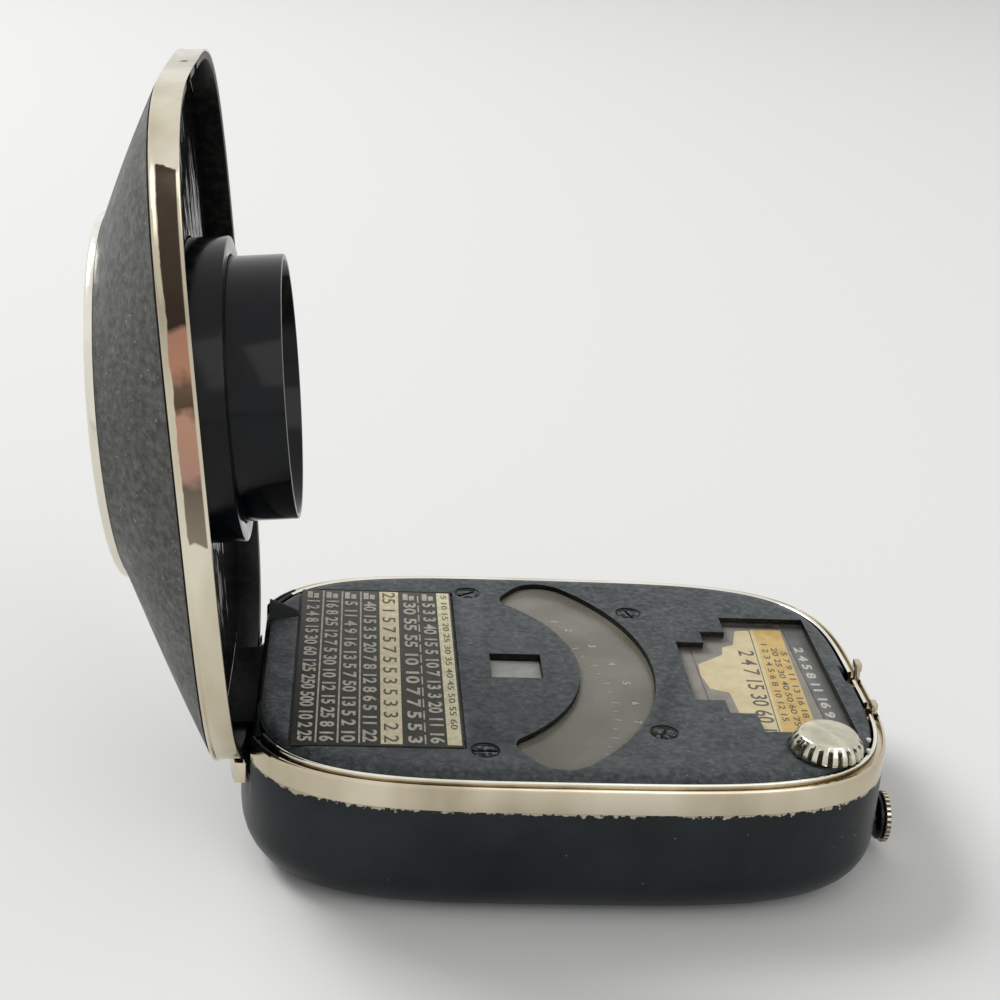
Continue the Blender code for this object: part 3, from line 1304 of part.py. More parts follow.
def panel_top():
    return rim(PANEL_Z + PANEL_THICKNESS)


def make_dome(lid):
    top = dome_foot() + DOME_RISE
    rings = [dome_ring(i / DOME_STEPS, 0) for i in range(DOME_STEPS + 1)]
    rings += [dome_hole_ring(top), dome_hole_ring(top - DOME_WALL)]
    rings += [dome_ring(i / DOME_STEPS, DOME_WALL) for i in range(DOME_STEPS, -1, -1)]
    dome = skin(rings, closed_section=True)
    for place in stand_places():
        dome = fuse(dome, cylinder(STAND_RADIUS, panel_top() + SEAT, stand_top(*place), place, FINE_STEPS))
    return finish("lid_dome", dome, black_paint(), (PIN_X, 0, rim(PIN_Z)), lid)


def stand_top(x, y):
    """The middle of the dome's wall over the outer edge of a stand."""
    outer = outline_radius(DOME_INSET, math.atan2(y, x))
    share = (outer - math.hypot(x, y) - STAND_RADIUS) / (outer - BEZEL_OUTER)
    return dome_foot() + DOME_RISE * share - DOME_WALL / 2


def make_bezel(lid):
    low = dome_foot() + DOME_RISE + SEAT
    profile = [(BEZEL_OUTER - BEZEL_WIDTH * in_share, low + BEZEL_RISE * up) for in_share, up in BEZEL_SHARES]
    origin = (PIN_X, 0, rim(PIN_Z))
    finish("bezel_ring", turned(profile, (BEZEL_X, 0, 0), closed_section=True), nickel(), origin, lid)
    top = disc_top()
    edge = disc_radius()
    profile = [(edge, top - DISC_THICKNESS), (edge, top - EDGE_BREAK), (edge - EDGE_BREAK, top)]
    return finish("back_disc", turned(profile, (BEZEL_X, 0, 0)), black_moulding(), origin, lid)


def disc_top():
    return dome_foot() + DOME_RISE + SEAT + BEZEL_RISE - DISC_SINK


def make_cell(lid):
    """The selenium cell behind the tube, with its carrier and its contact ring."""
    origin = (PIN_X, 0, rim(PIN_Z))
    centre = (BEZEL_X, 0)
    low = rim(CELL_Z)
    high = low + CELL_THICKNESS
    finish("selenium_cell", cylinder(CELL_RADIUS, low, high, centre, ROUND_STEPS), selenium(), origin, lid)
    inner = CELL_RADIUS + SEAT
    outer = inner + CARRIER_WALL
    shelf = inner - CONTACT_WIDTH
    top = disc_top() - DISC_THICKNESS - SEAT
    step = high + SEAT
    profile = [(outer, low), (outer, top), (shelf, top), (shelf, step), (inner, step), (inner, low)]
    carrier = turned(profile, (BEZEL_X, 0, 0), closed_section=True)
    finish("cell_carrier", carrier, black_moulding(), origin, lid)
    ring_top = low - SEAT / 2
    ring = washer(CELL_RADIUS - CONTACT_WIDTH, CELL_RADIUS, ring_top - CONTACT_THICKNESS, ring_top, centre)
    return finish("cell_contact", ring, brass(), origin, lid)


def make_panel(lid):
    """The black panel inside the lid and the socket that guides the tube."""
    origin = (PIN_X, 0, rim(PIN_Z))
    centre = (BEZEL_X, 0)
    low = rim(PANEL_Z)
    inset = LID_WALL + SEAT
    edge = low + PANEL_EDGE
    rings = [oval_ring(inset, low), oval_ring(inset, edge), oval_ring(inset + PANEL_CHAMFER, panel_top())]
    panel = skin(rings)
    bore = TUBE_RADIUS_1 + RUN
    panel = cut(panel, cylinder(bore, low - OVERRUN, panel_top() + OVERRUN, centre, ROUND_STEPS))
    finish("lid_panel", panel, black_moulding(), origin, lid)
    foot = panel_top() + SEAT
    socket = washer(bore, bore + SOCKET_WALL, foot, foot + SOCKET_LENGTH, centre)
    return finish("tube_socket", socket, black_moulding(), origin, lid)


def make_tube(lid):
    """Two sleeves that slide in the socket and in each other."""
    front = lid_z(TUBE_FRONT_1)
    inner = TUBE_RADIUS_1 - TUBE_WALL_1
    mouth = TUBE_RADIUS_2 + RUN
    end = front + TUBE_LENGTH_1
    profile = [(TUBE_RADIUS_1, front + EDGE_BREAK), (TUBE_RADIUS_1, end), (inner, end),
               (inner, front + FLANGE), (mouth, front + FLANGE), (mouth, front),
               (TUBE_RADIUS_1 - EDGE_BREAK, front)]
    sleeve = turned(profile, (BEZEL_X, 0, 0), closed_section=True)
    finish("tube_stage_1", sleeve, black_moulding(), (BEZEL_X, 0, front), lid)
    front = lid_z(TUBE_FRONT_2)
    bore = TUBE_RADIUS_2 - TUBE_WALL_2
    flange = inner - RUN
    end = front + TUBE_LENGTH_2
    profile = [(TUBE_RADIUS_2, front + EDGE_BREAK), (TUBE_RADIUS_2, end - FLANGE), (flange, end - FLANGE),
               (flange, end), (bore, end), (bore, front), (TUBE_RADIUS_2 - EDGE_BREAK, front)]
    sleeve = turned(profile, (BEZEL_X, 0, 0), closed_section=True)
    return finish("tube_stage_2", sleeve, black_moulding(), (BEZEL_X, 0, front), lid)


def main():
    for made in list(bpy.data.objects):
        bpy.data.objects.remove(made)
    lid = bpy.data.objects.new("lid_axis", None)
    bpy.context.scene.collection.objects.link(lid)
    lid.location = (PIN_X, 0, rim(PIN_Z))
    make_case()
    make_rim_frame()
    make_dial_plate()
    make_table_plate()
    make_plate_screws()
    make_windows()
    make_chassis()
    make_movement_screws()
    make_magnet()
    make_core()
    make_coil()
    make_pointer()
    make_hairspring("upper_hairspring", UPPER_SPRING_Z)
    make_hairspring("lower_hairspring", LOWER_SPRING_Z)
    make_bridge()
    make_scale_plate()
    make_card()
    make_calculator_back()
    make_knob()
    make_adjuster()
    make_latch()
    make_hinge(lid)
    make_lead_guard()
    make_lid_frame(lid)
    make_dome(lid)
    make_bezel(lid)
    make_cell(lid)
    make_panel(lid)
    make_tube(lid)
    lid.rotation_euler = (0, -LID_ANGLE, 0)
    bpy.context.view_layer.update()


main()
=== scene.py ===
import math

import bmesh
import bpy
from mathutils import Matrix, Vector


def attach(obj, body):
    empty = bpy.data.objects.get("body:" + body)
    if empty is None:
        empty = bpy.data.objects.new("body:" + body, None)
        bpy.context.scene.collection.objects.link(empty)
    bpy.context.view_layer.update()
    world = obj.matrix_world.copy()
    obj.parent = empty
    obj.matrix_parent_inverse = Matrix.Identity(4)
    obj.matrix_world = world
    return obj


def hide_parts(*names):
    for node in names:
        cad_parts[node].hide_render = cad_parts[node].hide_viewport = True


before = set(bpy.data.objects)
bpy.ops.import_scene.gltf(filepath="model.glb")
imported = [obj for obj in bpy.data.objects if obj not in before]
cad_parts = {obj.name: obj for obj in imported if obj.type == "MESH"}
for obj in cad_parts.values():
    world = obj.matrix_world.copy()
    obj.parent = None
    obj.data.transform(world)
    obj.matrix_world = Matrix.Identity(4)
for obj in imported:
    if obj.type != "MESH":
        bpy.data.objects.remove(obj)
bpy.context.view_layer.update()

# Places and sizes are in millimetres, and heights are from the table that the case lies on.
MM = 0.001
HALF_LENGTH = 35
HALF_WIDTH = 25.75
RIM = 16
CORNER_POWER = 3.9
PIN = Vector((-32.6, 0, 14.6))
LID_ANGLE = math.radians(95.24)
LID_OPEN = (Matrix.Translation(PIN * MM) @ Matrix.Rotation(-LID_ANGLE, 4, "Y")
            @ Matrix.Translation(-PIN * MM))
BEHIND_LID = (-0.9958, 0, -0.0913)
BEZEL_X = 1.2
BEZEL_RADIUS = 19
WALL = 1.4
FOOT = 5.5
SEAM = RIM - 2.73
PLATE_TOP = RIM + 0.7
TABLE_TOP = RIM + 0.78
CARD_TOP = RIM - 0.5
LID_BASE = RIM + 0.3
FINE = 256
PIVOT_X = -19
SCREWS = ((-9.4, 19.15), (-9.4, -19.15), (9.85, 14.6), (9.85, -14.6))
KNOB = (26.6, -17.6)
KNOB_WELL = 4.15
KNOB_CROWN = 18.69
FLUTES = 22
EDGES_A_FLUTE = 12
END_KNOB = (0, -10, 4.1)
TEETH = 30
SHADER = "Principled BSDF"


# Looks

def tone(code):
    """An sRGB hex colour as a linear one."""
    parts = [int(code[i:i + 2], 16) / 255 for i in (1, 3, 5)]
    linear = [part / 12.92 if part <= 0.04045 else ((part + 0.055) / 1.055) ** 2.4 for part in parts]
    return (*linear, 1)


def grain(size, detail=3, roughness=0.5):
    """The settings of noise whose features have a size in millimetres."""
    return {"Scale": 1 / (size * MM), "Detail": detail, "Roughness": roughness}


def add(owner, kind, settings=None, links=None):
    """Adds a node with its settings and its links. A ramp's stops are (place, hex) pairs."""
    made = owner.node_tree.nodes.new(kind)
    for name, value in (settings or {}).items():
        if name == "stops":
            elements = made.color_ramp.elements
            while len(elements) < len(value):
                elements.new(0.5)
            for element, (place, code) in zip(elements, value):
                element.position = place
                element.color = tone(code)
        elif isinstance(name, int) or name in made.inputs:
            made.inputs[name].default_value = value
        else:
            setattr(made, name, value)
    for name, source in (links or {}).items():
        owner.node_tree.links.new(source, made.inputs[name])
    return made


def surface(name, base, roughness, metallic=0.0, **settings):
    """A new material with its own shader settings."""
    made = bpy.data.materials.new(name)
    made.use_nodes = True
    shader = made.node_tree.nodes[SHADER]
    shader.inputs["Base Color"].default_value = tone(base)
    shader.inputs["Roughness"].default_value = roughness
    shader.inputs["Metallic"].default_value = metallic
    for key, value in settings.items():
        shader.inputs[key.replace("_", " ")].default_value = value
    return made


def lay_over(made, share, colour):
    """Lays a colour, a hex or a node's output, over a material's own where a share is high."""
    base = made.node_tree.nodes[SHADER].inputs["Base Color"]
    plain = isinstance(colour, str)
    mix = add(made, "ShaderNodeMix", {"data_type": "RGBA", **({7: tone(colour)} if plain else {})},
              {0: share, 6: base.links[0].from_socket, **({} if plain else {7: colour})})
    made.node_tree.links.new(mix.outputs[2], base)


def mottled(name, base, roughness, metallic=0.0, colour=None, flecks=None, gloss=None, relief=None,
            stretch=None, **settings):
    """A finish that wanders over its surface in layers, each with the grain of its pattern first.

    After the grain, colour has its stops, flecks have the span of the pattern that they start in, their cover
    and their hex, gloss has the roughness at both ends, and relief has its depth in millimetres and strength.
    A stretch squeezes a layer's pattern along each axis.
    """
    made = surface(name, base, roughness, metallic, **settings)
    shader = made.node_tree.nodes[SHADER]
    layers = {"Base Color": colour, "Flecks": flecks, "Roughness": gloss, "Normal": relief}
    for target, (pattern, *values) in [(target, layer) for target, layer in layers.items() if layer]:
        places = add(made, "ShaderNodeTexCoord").outputs["Object"]
        if stretch and target in stretch:
            places = add(made, "ShaderNodeMapping", {"Scale": stretch[target]},
                         {"Vector": places}).outputs["Vector"]
        field = add(made, "ShaderNodeTexNoise", pattern, {"Vector": places}).outputs["Fac"]
        if target == "Flecks":
            low, high, cover, code = values
            share = add(made, "ShaderNodeMapRange", {"From Min": low, "From Max": high, "To Max": cover},
                        {"Value": field})
            lay_over(made, share.outputs["Result"], code)
            continue
        if target == "Base Color":
            result = add(made, "ShaderNodeValToRGB", {"stops": values}, {"Fac": field}).outputs["Color"]
        elif target == "Roughness":
            span = {"From Min": 0.3, "From Max": 0.7, "To Min": values[0], "To Max": values[1]}
            result = add(made, "ShaderNodeMapRange", span, {"Value": field}).outputs["Result"]
        else:
            depth = {"Distance": values[0] * MM, "Strength": values[1]}
            result = add(made, "ShaderNodeBump", depth, {"Height": field}).outputs["Normal"]
        made.node_tree.links.new(result, shader.inputs[target])
    return made


def wrinkle_lacquer(name, dark, middle, light, dust):
    # Stoved wrinkle lacquer: a slate skin of fine pebbles, mottled dark and light, with grey dust in places.
    return mottled(name, middle, 0.5, Specular_IOR_Level=0.35,
                   colour=(grain(0.75, 4, 0.62), (0.34, dark), (0.5, middle), (0.68, light)),
                   flecks=(grain(0.4, 2, 0.4), 0.7, 0.76, 0.6, dust),
                   gloss=(grain(2.5), 0.4, 0.6), relief=(grain(0.6, 3, 0.6), 0.11, 0.8))


def case_lacquer():
    # Smooth stoved lacquer on the case's wall: blue black, softly glossy, chipped to bare metal at its edges.
    made = mottled("stoved_gloss_lacquer", "#1b1f21", 0.34, Specular_IOR_Level=0.22,
                   colour=(grain(7, 4), (0.35, "#161b1e"), (0.7, "#23292d")), relief=(grain(0.8), 0.03, 0.5))
    places = add(made, "ShaderNodeTexCoord").outputs["Object"]
    height = add(made, "ShaderNodeSeparateXYZ", None, {"Vector": places}).outputs["Z"]
    flakes = add(made, "ShaderNodeTexNoise", grain(0.8, 4, 0.6), {"Vector": places}).outputs["Fac"]
    # Near the foot and near the band more of the pattern comes off.
    for clear, worst, more in ((1.6, 0.2, 0.07), (12.6, 13.3, 0.3)):
        edge = add(made, "ShaderNodeMapRange",
                   {"From Min": clear * MM, "From Max": worst * MM, "To Max": more}, {"Value": height})
        flakes = add(made, "ShaderNodeMath", {"operation": "ADD"},
                     {0: flakes, 1: edge.outputs["Result"]}).outputs[0]
    chips = add(made, "ShaderNodeMapRange", {"From Min": 0.735, "From Max": 0.745}, {"Value": flakes})
    lay_over(made, chips.outputs["Result"], "#bbb19c")
    return made


def nickel_plate(name, dark, middle, light):
    # Nickel plate on copper and brass: warm silver and mirror bright, with small brown spots.
    return mottled(name, middle, 0.16, 1.0, stretch={"Base Color": (1, 1, 0.35)},
                   colour=(grain(9), (0.36, dark), (0.5, middle), (0.66, light)),
                   flecks=(grain(0.4), 0.74, 0.8, 0.6, "#5d4a36"),
                   gloss=(grain(1.4), 0.1, 0.24), relief=(grain(6, 1), 0.05, 0.6))


def nickel_plate_painted_reflections():
    # The same plate on the lid's band, with painted reflections: sharp brown and pink patches on its near
    # side, from one height to another and not quite to either edge, stand for the hand and the room mirrored
    # in the band.
    made = nickel_plate("nickel_plate_painted_reflections", "#b9af98", "#cdc4ad", "#e3dcc8")
    places = add(made, "ShaderNodeTexCoord").outputs["Object"]
    axes = add(made, "ShaderNodeSeparateXYZ", None, {"Vector": places})
    behind = add(made, "ShaderNodeVectorMath", {"operation": "DOT_PRODUCT", 1: BEHIND_LID},
                 {0: places}).outputs["Value"]
    wave = add(made, "ShaderNodeTexNoise", grain(4, 3, 0.55), {"Vector": places}).outputs["Fac"]
    wavy = []
    for source, swing in ((axes.outputs["Z"], 2.5), (behind, 0.4)):
        shift = add(made, "ShaderNodeMapRange", {"To Min": -swing * MM, "To Max": swing * MM},
                    {"Value": wave})
        wavy.append(add(made, "ShaderNodeMath", {"operation": "ADD"},
                        {0: source, 1: shift.outputs["Result"]}).outputs[0])
    level, edge = wavy
    share = add(made, "ShaderNodeMapRange", {"From Min": 42.2 * MM, "From Max": 75.5 * MM}, {"Value": level})
    # Colours of the painted reflections, up the band's near side.
    stops = ((0, "#8a7f70"), (0.14, "#6f6458"), (0.18, "#b28a7a"), (0.35, "#ba9078"), (0.38, "#5b4a3c"),
             (0.45, "#6b5a4a"), (0.48, "#b5846c"), (0.58, "#b0826e"), (0.61, "#3b322a"), (0.97, "#463c33"))
    under = add(made, "ShaderNodeValToRGB", {"stops": stops}, {"Fac": share.outputs["Result"]})
    reflection_share = None
    for source, whole, bare in ((edge, 34.95, 34.85), (behind, 33.1, 33.2), (level, 41.7, 42),
                                (level, 75.7, 75.5), (axes.outputs["Y"], -10, -12)):
        part = add(made, "ShaderNodeMapRange", {"From Min": whole * MM, "From Max": bare * MM},
                   {"Value": source}).outputs["Result"]
        reflection_share = part if reflection_share is None else add(made, "ShaderNodeMath", {"operation": "MULTIPLY"},
                                             {0: reflection_share, 1: part}).outputs[0]
    # Lays the painted reflections over the plate.
    lay_over(made, reflection_share, under.outputs["Color"])
    return made


def faced_nickel():
    # The calculator knob's turned face: rings too fine to draw run round its centre and draw the light out
    # into a bow tie.
    made = mottled("faced_nickel", "#c9c5b0", 0.3, 1.0, Anisotropic=0.9,
                   colour=(grain(1.5), (0.3, "#bdb9a4"), (0.7, "#d6d2bf")))
    places = add(made, "ShaderNodeTexCoord").outputs["Object"]
    centre = Vector((*KNOB, 0)) * MM
    arm = add(made, "ShaderNodeVectorMath", {"operation": "SUBTRACT", 1: centre}, {0: places})
    around = add(made, "ShaderNodeVectorMath", {"operation": "CROSS_PRODUCT", 1: (0, 0, 1)},
                 {0: arm.outputs["Vector"]})
    tangent = made.node_tree.nodes[SHADER].inputs["Tangent"]
    made.node_tree.links.new(around.outputs["Vector"], tangent)
    return made


def window_sheet(name, dark, light, cover):
    # Old celluloid window: yellowed and clouded, so that what lies below shows only faintly through it.
    return mottled(name, light, 0.22, Alpha=cover, Specular_IOR_Level=0.4,
                   colour=(grain(6), (0.35, dark), (0.65, light)), relief=(grain(9, 1), 0.02, 0.3))


def printed_card(name, base, light, dark, gloss=0.5):
    # Printed and varnished card: flat ink with a slight mottle.
    return mottled(name, base, gloss, colour=(grain(1.6, 4, 0.6), (0.3, dark), (0.7, light)),
                   relief=(grain(0.3, 2), 0.01, 0.4))


def raised_metal(name, base, dark, light, metallic):
    # Raised marks and strips of the tables: a soft plated metal, mottled dark and pale at random.
    return mottled(name, base, 0.38, metallic, colour=(grain(0.7, 4, 0.6), (0.3, dark), (0.7, light)),
                   relief=(grain(0.2, 2), 0.01, 0.5))


def ink(name, code):
    # Printing ink: matt and slightly uneven.
    return mottled(name, code, 0.55, gloss=(grain(0.6), 0.45, 0.65), relief=(grain(0.1, 2), 0.004, 0.3))


LOOKS = {
    "wrinkle": wrinkle_lacquer("stoved_wrinkle_lacquer", "#24282a", "#3b4042", "#51575a", "#8f9290"),
    # The lid's dome and disc: a lighter copy of the dial plate's lacquer, painted light for the window light
    # that the lid's face catches, with more grey dust.
    "dome": wrinkle_lacquer("wrinkle_lacquer_painted_lighter", "#3a3b3a", "#50504e", "#646460", "#aaa9a2"),
    "case": case_lacquer(),
    # Near-black brass of the hinge, also on the band's top beside it and on the lid's lining: nearly black,
    # with rubbed edges. On the cut walls of the plate's openings the same near-black is painted shade.
    "hinge": mottled("near_black_brass_and_painted_shade", "#0d0f11", 0.38, Specular_IOR_Level=0.2,
                     colour=(grain(0.9, 4, 0.6), (0.45, "#08090a"), (0.74, "#26241f")),
                     relief=(grain(0.4), 0.03, 0.6)),
    # Black rubber of the guard by the hinge: dull, a little dusty.
    "rubber": mottled("black_rubber", "#0b0d0f", 0.7, Specular_IOR_Level=0.3,
                      colour=(grain(0.8), (0.4, "#08090b"), (0.75, "#181b1e")),
                      relief=(grain(0.5), 0.04, 0.6)),
    "nickel": nickel_plate("nickel_plate", "#b6ab94", "#cabfa8", "#d9d0bb"),
    # The lid's band: nickel with painted reflections.
    "lid_nickel": nickel_plate_painted_reflections(),
    "bezel_nickel": nickel_plate("bright_nickel_plate", "#e0dccd", "#ece9dc", "#f6f4ea"),
    # Turned and plated brass of the knob's side: bright, with a faint unevenness.
    "turned": mottled("turned_nickel", "#d0cdbc", 0.2, 1.0, relief=(grain(0.3, 2), 0.01, 0.4),
                      colour=(grain(1.2), (0.3, "#bcb7a4"), (0.7, "#dedbcc"))),
    "faced": faced_nickel(),
    # The bottoms of the knobs' flutes and milling: darkened nickel, painted shade and dark reflection in the
    # grooves.
    "flute_shade": mottled("nickel_painted_shade", "#57534a", 0.5, 0.7, relief=(grain(0.2, 2), 0.02, 0.5),
                     colour=(grain(0.5), (0.35, "#38352e"), (0.7, "#7a7566"))),
    # Moulded phenolic of the light tube: blue black and polished, with soft long reflections.
    "phenolic": mottled("polished_phenolic", "#06080b", 0.13, Specular_IOR_Level=0.22,
                        colour=(grain(3), (0.3, "#040609"), (0.7, "#0b0f14")),
                        gloss=(grain(1.8), 0.1, 0.2), relief=(grain(2.6, 1), 0.012, 0.5)),
    # Black enamel inside the lid: high gloss over a hand-worked sheet, so that reflections run in streaks.
    "enamel": mottled("black_enamel", "#08090b", 0.1, stretch={"Normal": (1, 2.4, 0.5)},
                      colour=(grain(8), (0.3, "#050607"), (0.7, "#0e1013")),
                      relief=(grain(5, 2), 0.35, 1.0)),
    # Blackened screws and iron: dark and oily, with bright metal where the driver has rubbed.
    "blued": mottled("blackened_steel", "#26272a", 0.26, 1.0, relief=(grain(0.2, 2), 0.01, 0.4),
                     colour=(grain(0.5), (0.5, "#17181a"), (0.72, "#77787a"))),
    # Ground steel of the shafts and clips: plain grey, with scratches along the grind, drawn coarser than the
    # real grit so that they show.
    "steel": mottled("ground_steel", "#8f9092", 0.32, 1.0,
                     stretch={"Base Color": (1, 6, 1), "Normal": (1, 8, 1)},
                     colour=(grain(0.6), (0.3, "#7c7d7f"), (0.7, "#a3a4a5")),
                     relief=(grain(0.15, 2), 0.01, 0.3)),
    # Clock brass of the movement: yellow, lightly lacquered.
    "brass": mottled("clock_brass", "#c2a05c", 0.3, 1.0, relief=(grain(0.25, 2), 0.01, 0.3),
                     colour=(grain(1.5), (0.3, "#ac8847"), (0.7, "#cdb070"))),
    "arc_pane": window_sheet("clouded_celluloid", "#878476", "#9b988a", 0.6),
    "card_pane": window_sheet("clear_celluloid", "#8d8881", "#a6a19a", 0.1),
    # Silvered dial of the pointer: matt, warm grey, faintly cloudy.
    "silvered": mottled("silvered_dial", "#a9a698", 0.5, relief=(grain(0.12, 2), 0.006, 0.3),
                        colour=(grain(4), (0.3, "#a09d90"), (0.7, "#b5b2a4"))),
    "etched": printed_card("etched_black", "#29271e", "#35322a", "#1f1d16", 0.55),
    "silver": raised_metal("worn_silver", "#a9a592", "#8a8674", "#c9c5b3", 0.3),
    "gilt": raised_metal("worn_gilding", "#dccfa8", "#c8bb94", "#ece2bd", 0.2),
    "cream_silver": raised_metal("worn_cream_silver", "#d6cfa8", "#bcb48c", "#e9e3c0", 0.3),
    "back": printed_card("grey_card", "#9a958c", "#a5a097", "#8f8a81"),
    "margin": printed_card("dark_grey_card", "#6a6c6a", "#737573", "#5f615f"),
    "cream": printed_card("cream_card", "#fbe6b2", "#fdeec4", "#eed9a2"),
    "gold_print": printed_card("gold_print", "#f2cc72", "#f8d986", "#e2b956", 0.4),
    "sight": printed_card("white_card", "#a6a8a3", "#b1b3ae", "#9b9d98"),
    "dark_ink": ink("dark_brown_ink", "#5b5140"),
    "white_ink": ink("white_ink", "#e4e1d6"),
    "scale_ink": ink("pale_scale_ink", "#b9b7ac"),
    # Selenium cell: a dark blue-grey crystalline coat under clear varnish.
    "selenium": mottled("selenium_coat", "#24262e", 0.3, 0.3, Coat_Weight=0.5,
                        colour=(grain(0.8, 4), (0.3, "#1d1f27"), (0.7, "#343844"))),
    # Synthetic ruby of the bearings: deep red and polished.
    "ruby": mottled("synthetic_ruby", "#7a1226", 0.08, Coat_Weight=0.5,
                    colour=(grain(0.4, 2), (0.3, "#6a0e20"), (0.7, "#8e1a30"))),
}

# The CAD nodes that wear each look
PLAIN = {
    "wrinkle": ("dial_plate",), "dome": ("lid_dome", "back_disc"), "case": ("case_body",),
    "nickel": ("rim_frame", "hinge_lid_leaf", "hinge_strap", "latch_slide", "latch_button"),
    "lid_nickel": ("lid_frame",), "bezel_nickel": ("bezel_ring",), "hinge": ("hinge_case_leaf",),
    "turned": ("calculator_knob", "adjuster_knob"), "rubber": ("lead_guard",),
    "phenolic": ("tube_stage_1", "tube_stage_2", "tube_socket", "cell_carrier", "adjuster_flange"),
    "enamel": ("lid_panel",),
    "blued": ("plate_screw_1", "plate_screw_2", "plate_screw_3", "plate_screw_4", "core", "pole_piece_1",
              "pole_piece_2", "pointer"),
    "steel": ("magnet", "spindle", "knob_staff", "knob_clip", "adjuster_shaft", "adjuster_clip", "hinge_pin",
              "chassis_screw_1", "chassis_screw_2", "bridge_screw_1", "bridge_screw_2"),
    "brass": ("chassis_plate", "moving_coil", "balance_weight", "upper_hairspring", "lower_hairspring",
              "movement_bridge", "calculator_rack", "calculator_pinion", "cell_contact"),
    "arc_pane": ("arc_window",), "card_pane": ("calculator_window",),
    "silvered": ("scale_plate",), "etched": ("table_plate",), "cream": ("calculator_card",),
    "back": ("calculator_back",), "selenium": ("selenium_cell",), "ruby": ("upper_jewel", "lower_jewel"),
}


# Modelling

def deselect():
    """Leaves no piece selected."""
    bpy.ops.object.select_all(action="DESELECT")


def select(piece):
    """Makes a piece the only selected one and the active one."""
    deselect()
    piece.select_set(True)
    bpy.context.view_layer.objects.active = piece


def outline(inset):
    """The case's rounded outline, drawn in by an inset, as a reach for each direction."""
    def reach(angle):
        along = abs(math.cos(angle)) / (HALF_LENGTH - inset)
        across = abs(math.sin(angle)) / (HALF_WIDTH - inset)
        return (along ** CORNER_POWER + across ** CORNER_POWER) ** (-1 / CORNER_POWER)
    return reach


def circle(radius):
    """A round outline, as a reach that is the same for each direction."""
    def reach(angle):
        return radius
    return reach


def loft(name, rings, steps=192, hollow=False):
    """Extrudes a ring of edges through (reach, middle, height) rings, and round to its start if hollow."""
    deselect()
    fill = "NOTHING" if hollow else "NGON"
    bpy.ops.mesh.primitive_circle_add(vertices=steps, radius=1, fill_type=fill, enter_editmode=True)
    piece = bpy.context.object
    piece.name = name
    last_middle = 0
    path = list(rings) + (list(rings[:1]) if hollow else [])
    for i, (reach, middle, height) in enumerate(path):
        if i:
            bpy.ops.mesh.extrude_region()
        shape = bmesh.from_edit_mesh(piece.data)
        for vertex in [v for v in shape.verts if v.select]:
            angle = math.atan2(vertex.co.y, vertex.co.x - last_middle)
            place = Vector((middle + reach(angle) * math.cos(angle), reach(angle) * math.sin(angle), height))
            vertex.co = place * MM
        bmesh.update_edit_mesh(piece.data)
        last_middle = middle * MM
    bpy.ops.mesh.select_all(action="SELECT")
    bpy.ops.mesh.remove_doubles(threshold=0.000001)
    bpy.ops.mesh.normals_make_consistent(inside=False)
    bpy.ops.object.mode_set(mode="OBJECT")
    return piece


def slab(name, x, y, z):
    """A block between limits."""
    deselect()
    middle = Vector(((x[0] + x[1]) / 2, (y[0] + y[1]) / 2, (z[0] + z[1]) / 2)) * MM
    bpy.ops.mesh.primitive_cube_add(size=1, location=middle)
    piece = bpy.context.object
    piece.name = name
    piece.scale = Vector((x[1] - x[0], y[1] - y[0], z[1] - z[0])) * MM
    bpy.ops.object.transform_apply(location=True, rotation=True, scale=True)
    return piece


def rod(name, radius, low, high, place, steps=96):
    """An upright rod."""
    return shifted(loft(name, [(circle(radius), 0, low), (circle(radius), 0, high)], steps), (*place, 0))


def shifted(piece, move):
    """Moves a piece by its mesh."""
    piece.data.transform(Matrix.Translation(Vector(move) * MM))
    return piece


def carve(piece, *cutters, operation="DIFFERENCE"):
    """Cuts each cutter out of a piece, or joins it on."""
    for cutter in cutters:
        select(piece)
        change = piece.modifiers.new("Boolean", "BOOLEAN")
        change.operation = operation
        change.solver = "EXACT"
        change.object = cutter
        bpy.ops.object.modifier_apply(modifier=change.name)
        bpy.data.objects.remove(cutter)
    return piece


def soften(piece, width):
    """Rounds the sharp edges."""
    if width:
        select(piece)
        change = piece.modifiers.new("Bevel", "BEVEL")
        change.width = width * MM
        change.segments = 2
        change.limit_method = "ANGLE"
        change.angle_limit = math.radians(30)
        change.use_clamp_overlap = True
        bpy.ops.object.modifier_apply(modifier=change.name)
    return piece


def dress(piece, look, body):
    """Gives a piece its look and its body."""
    piece.data.materials.clear()
    piece.data.materials.append(LOOKS[look])
    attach(piece, body)
    return piece


def seat(piece, look, body, nodes=(), edge=0.0, lid=False, smooth=35):
    """Rounds and smooths a piece, opens it with the lid if it was made shut, and dresses it."""
    soften(piece, edge)
    select(piece)
    bpy.ops.object.shade_smooth_by_angle(angle=math.radians(smooth))
    if lid:
        piece.data.transform(LID_OPEN)
    dress(piece, look, body)
    if nodes:
        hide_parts(*nodes)
    return piece


def refined(node, look, body, edge, cutters=()):
    """A copy of a CAD node with its facets merged, trimmed by its cutters, and its edges rounded."""
    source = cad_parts[node]
    piece = bpy.data.objects.new(node + "_finished", source.data.copy())
    bpy.context.scene.collection.objects.link(piece)
    select(piece)
    bpy.ops.mesh.customdata_custom_splitnormals_clear()
    bpy.ops.object.mode_set(mode="EDIT")
    bpy.ops.mesh.select_all(action="SELECT")
    bpy.ops.mesh.remove_doubles(threshold=0.000002)
    bpy.ops.mesh.dissolve_limited(angle_limit=math.radians(0.6))
    bpy.ops.object.mode_set(mode="OBJECT")
    carve(piece, *cutters)
    return seat(piece, look, body, (node,), edge)


def second_look(piece, look, chosen):
    """Gives another material to the faces that a test picks by their middles and normals."""
    piece.data.materials.append(LOOKS[look])
    for face in piece.data.polygons:
        if chosen(face.center / MM, face.normal):
            face.material_index = len(piece.data.materials) - 1


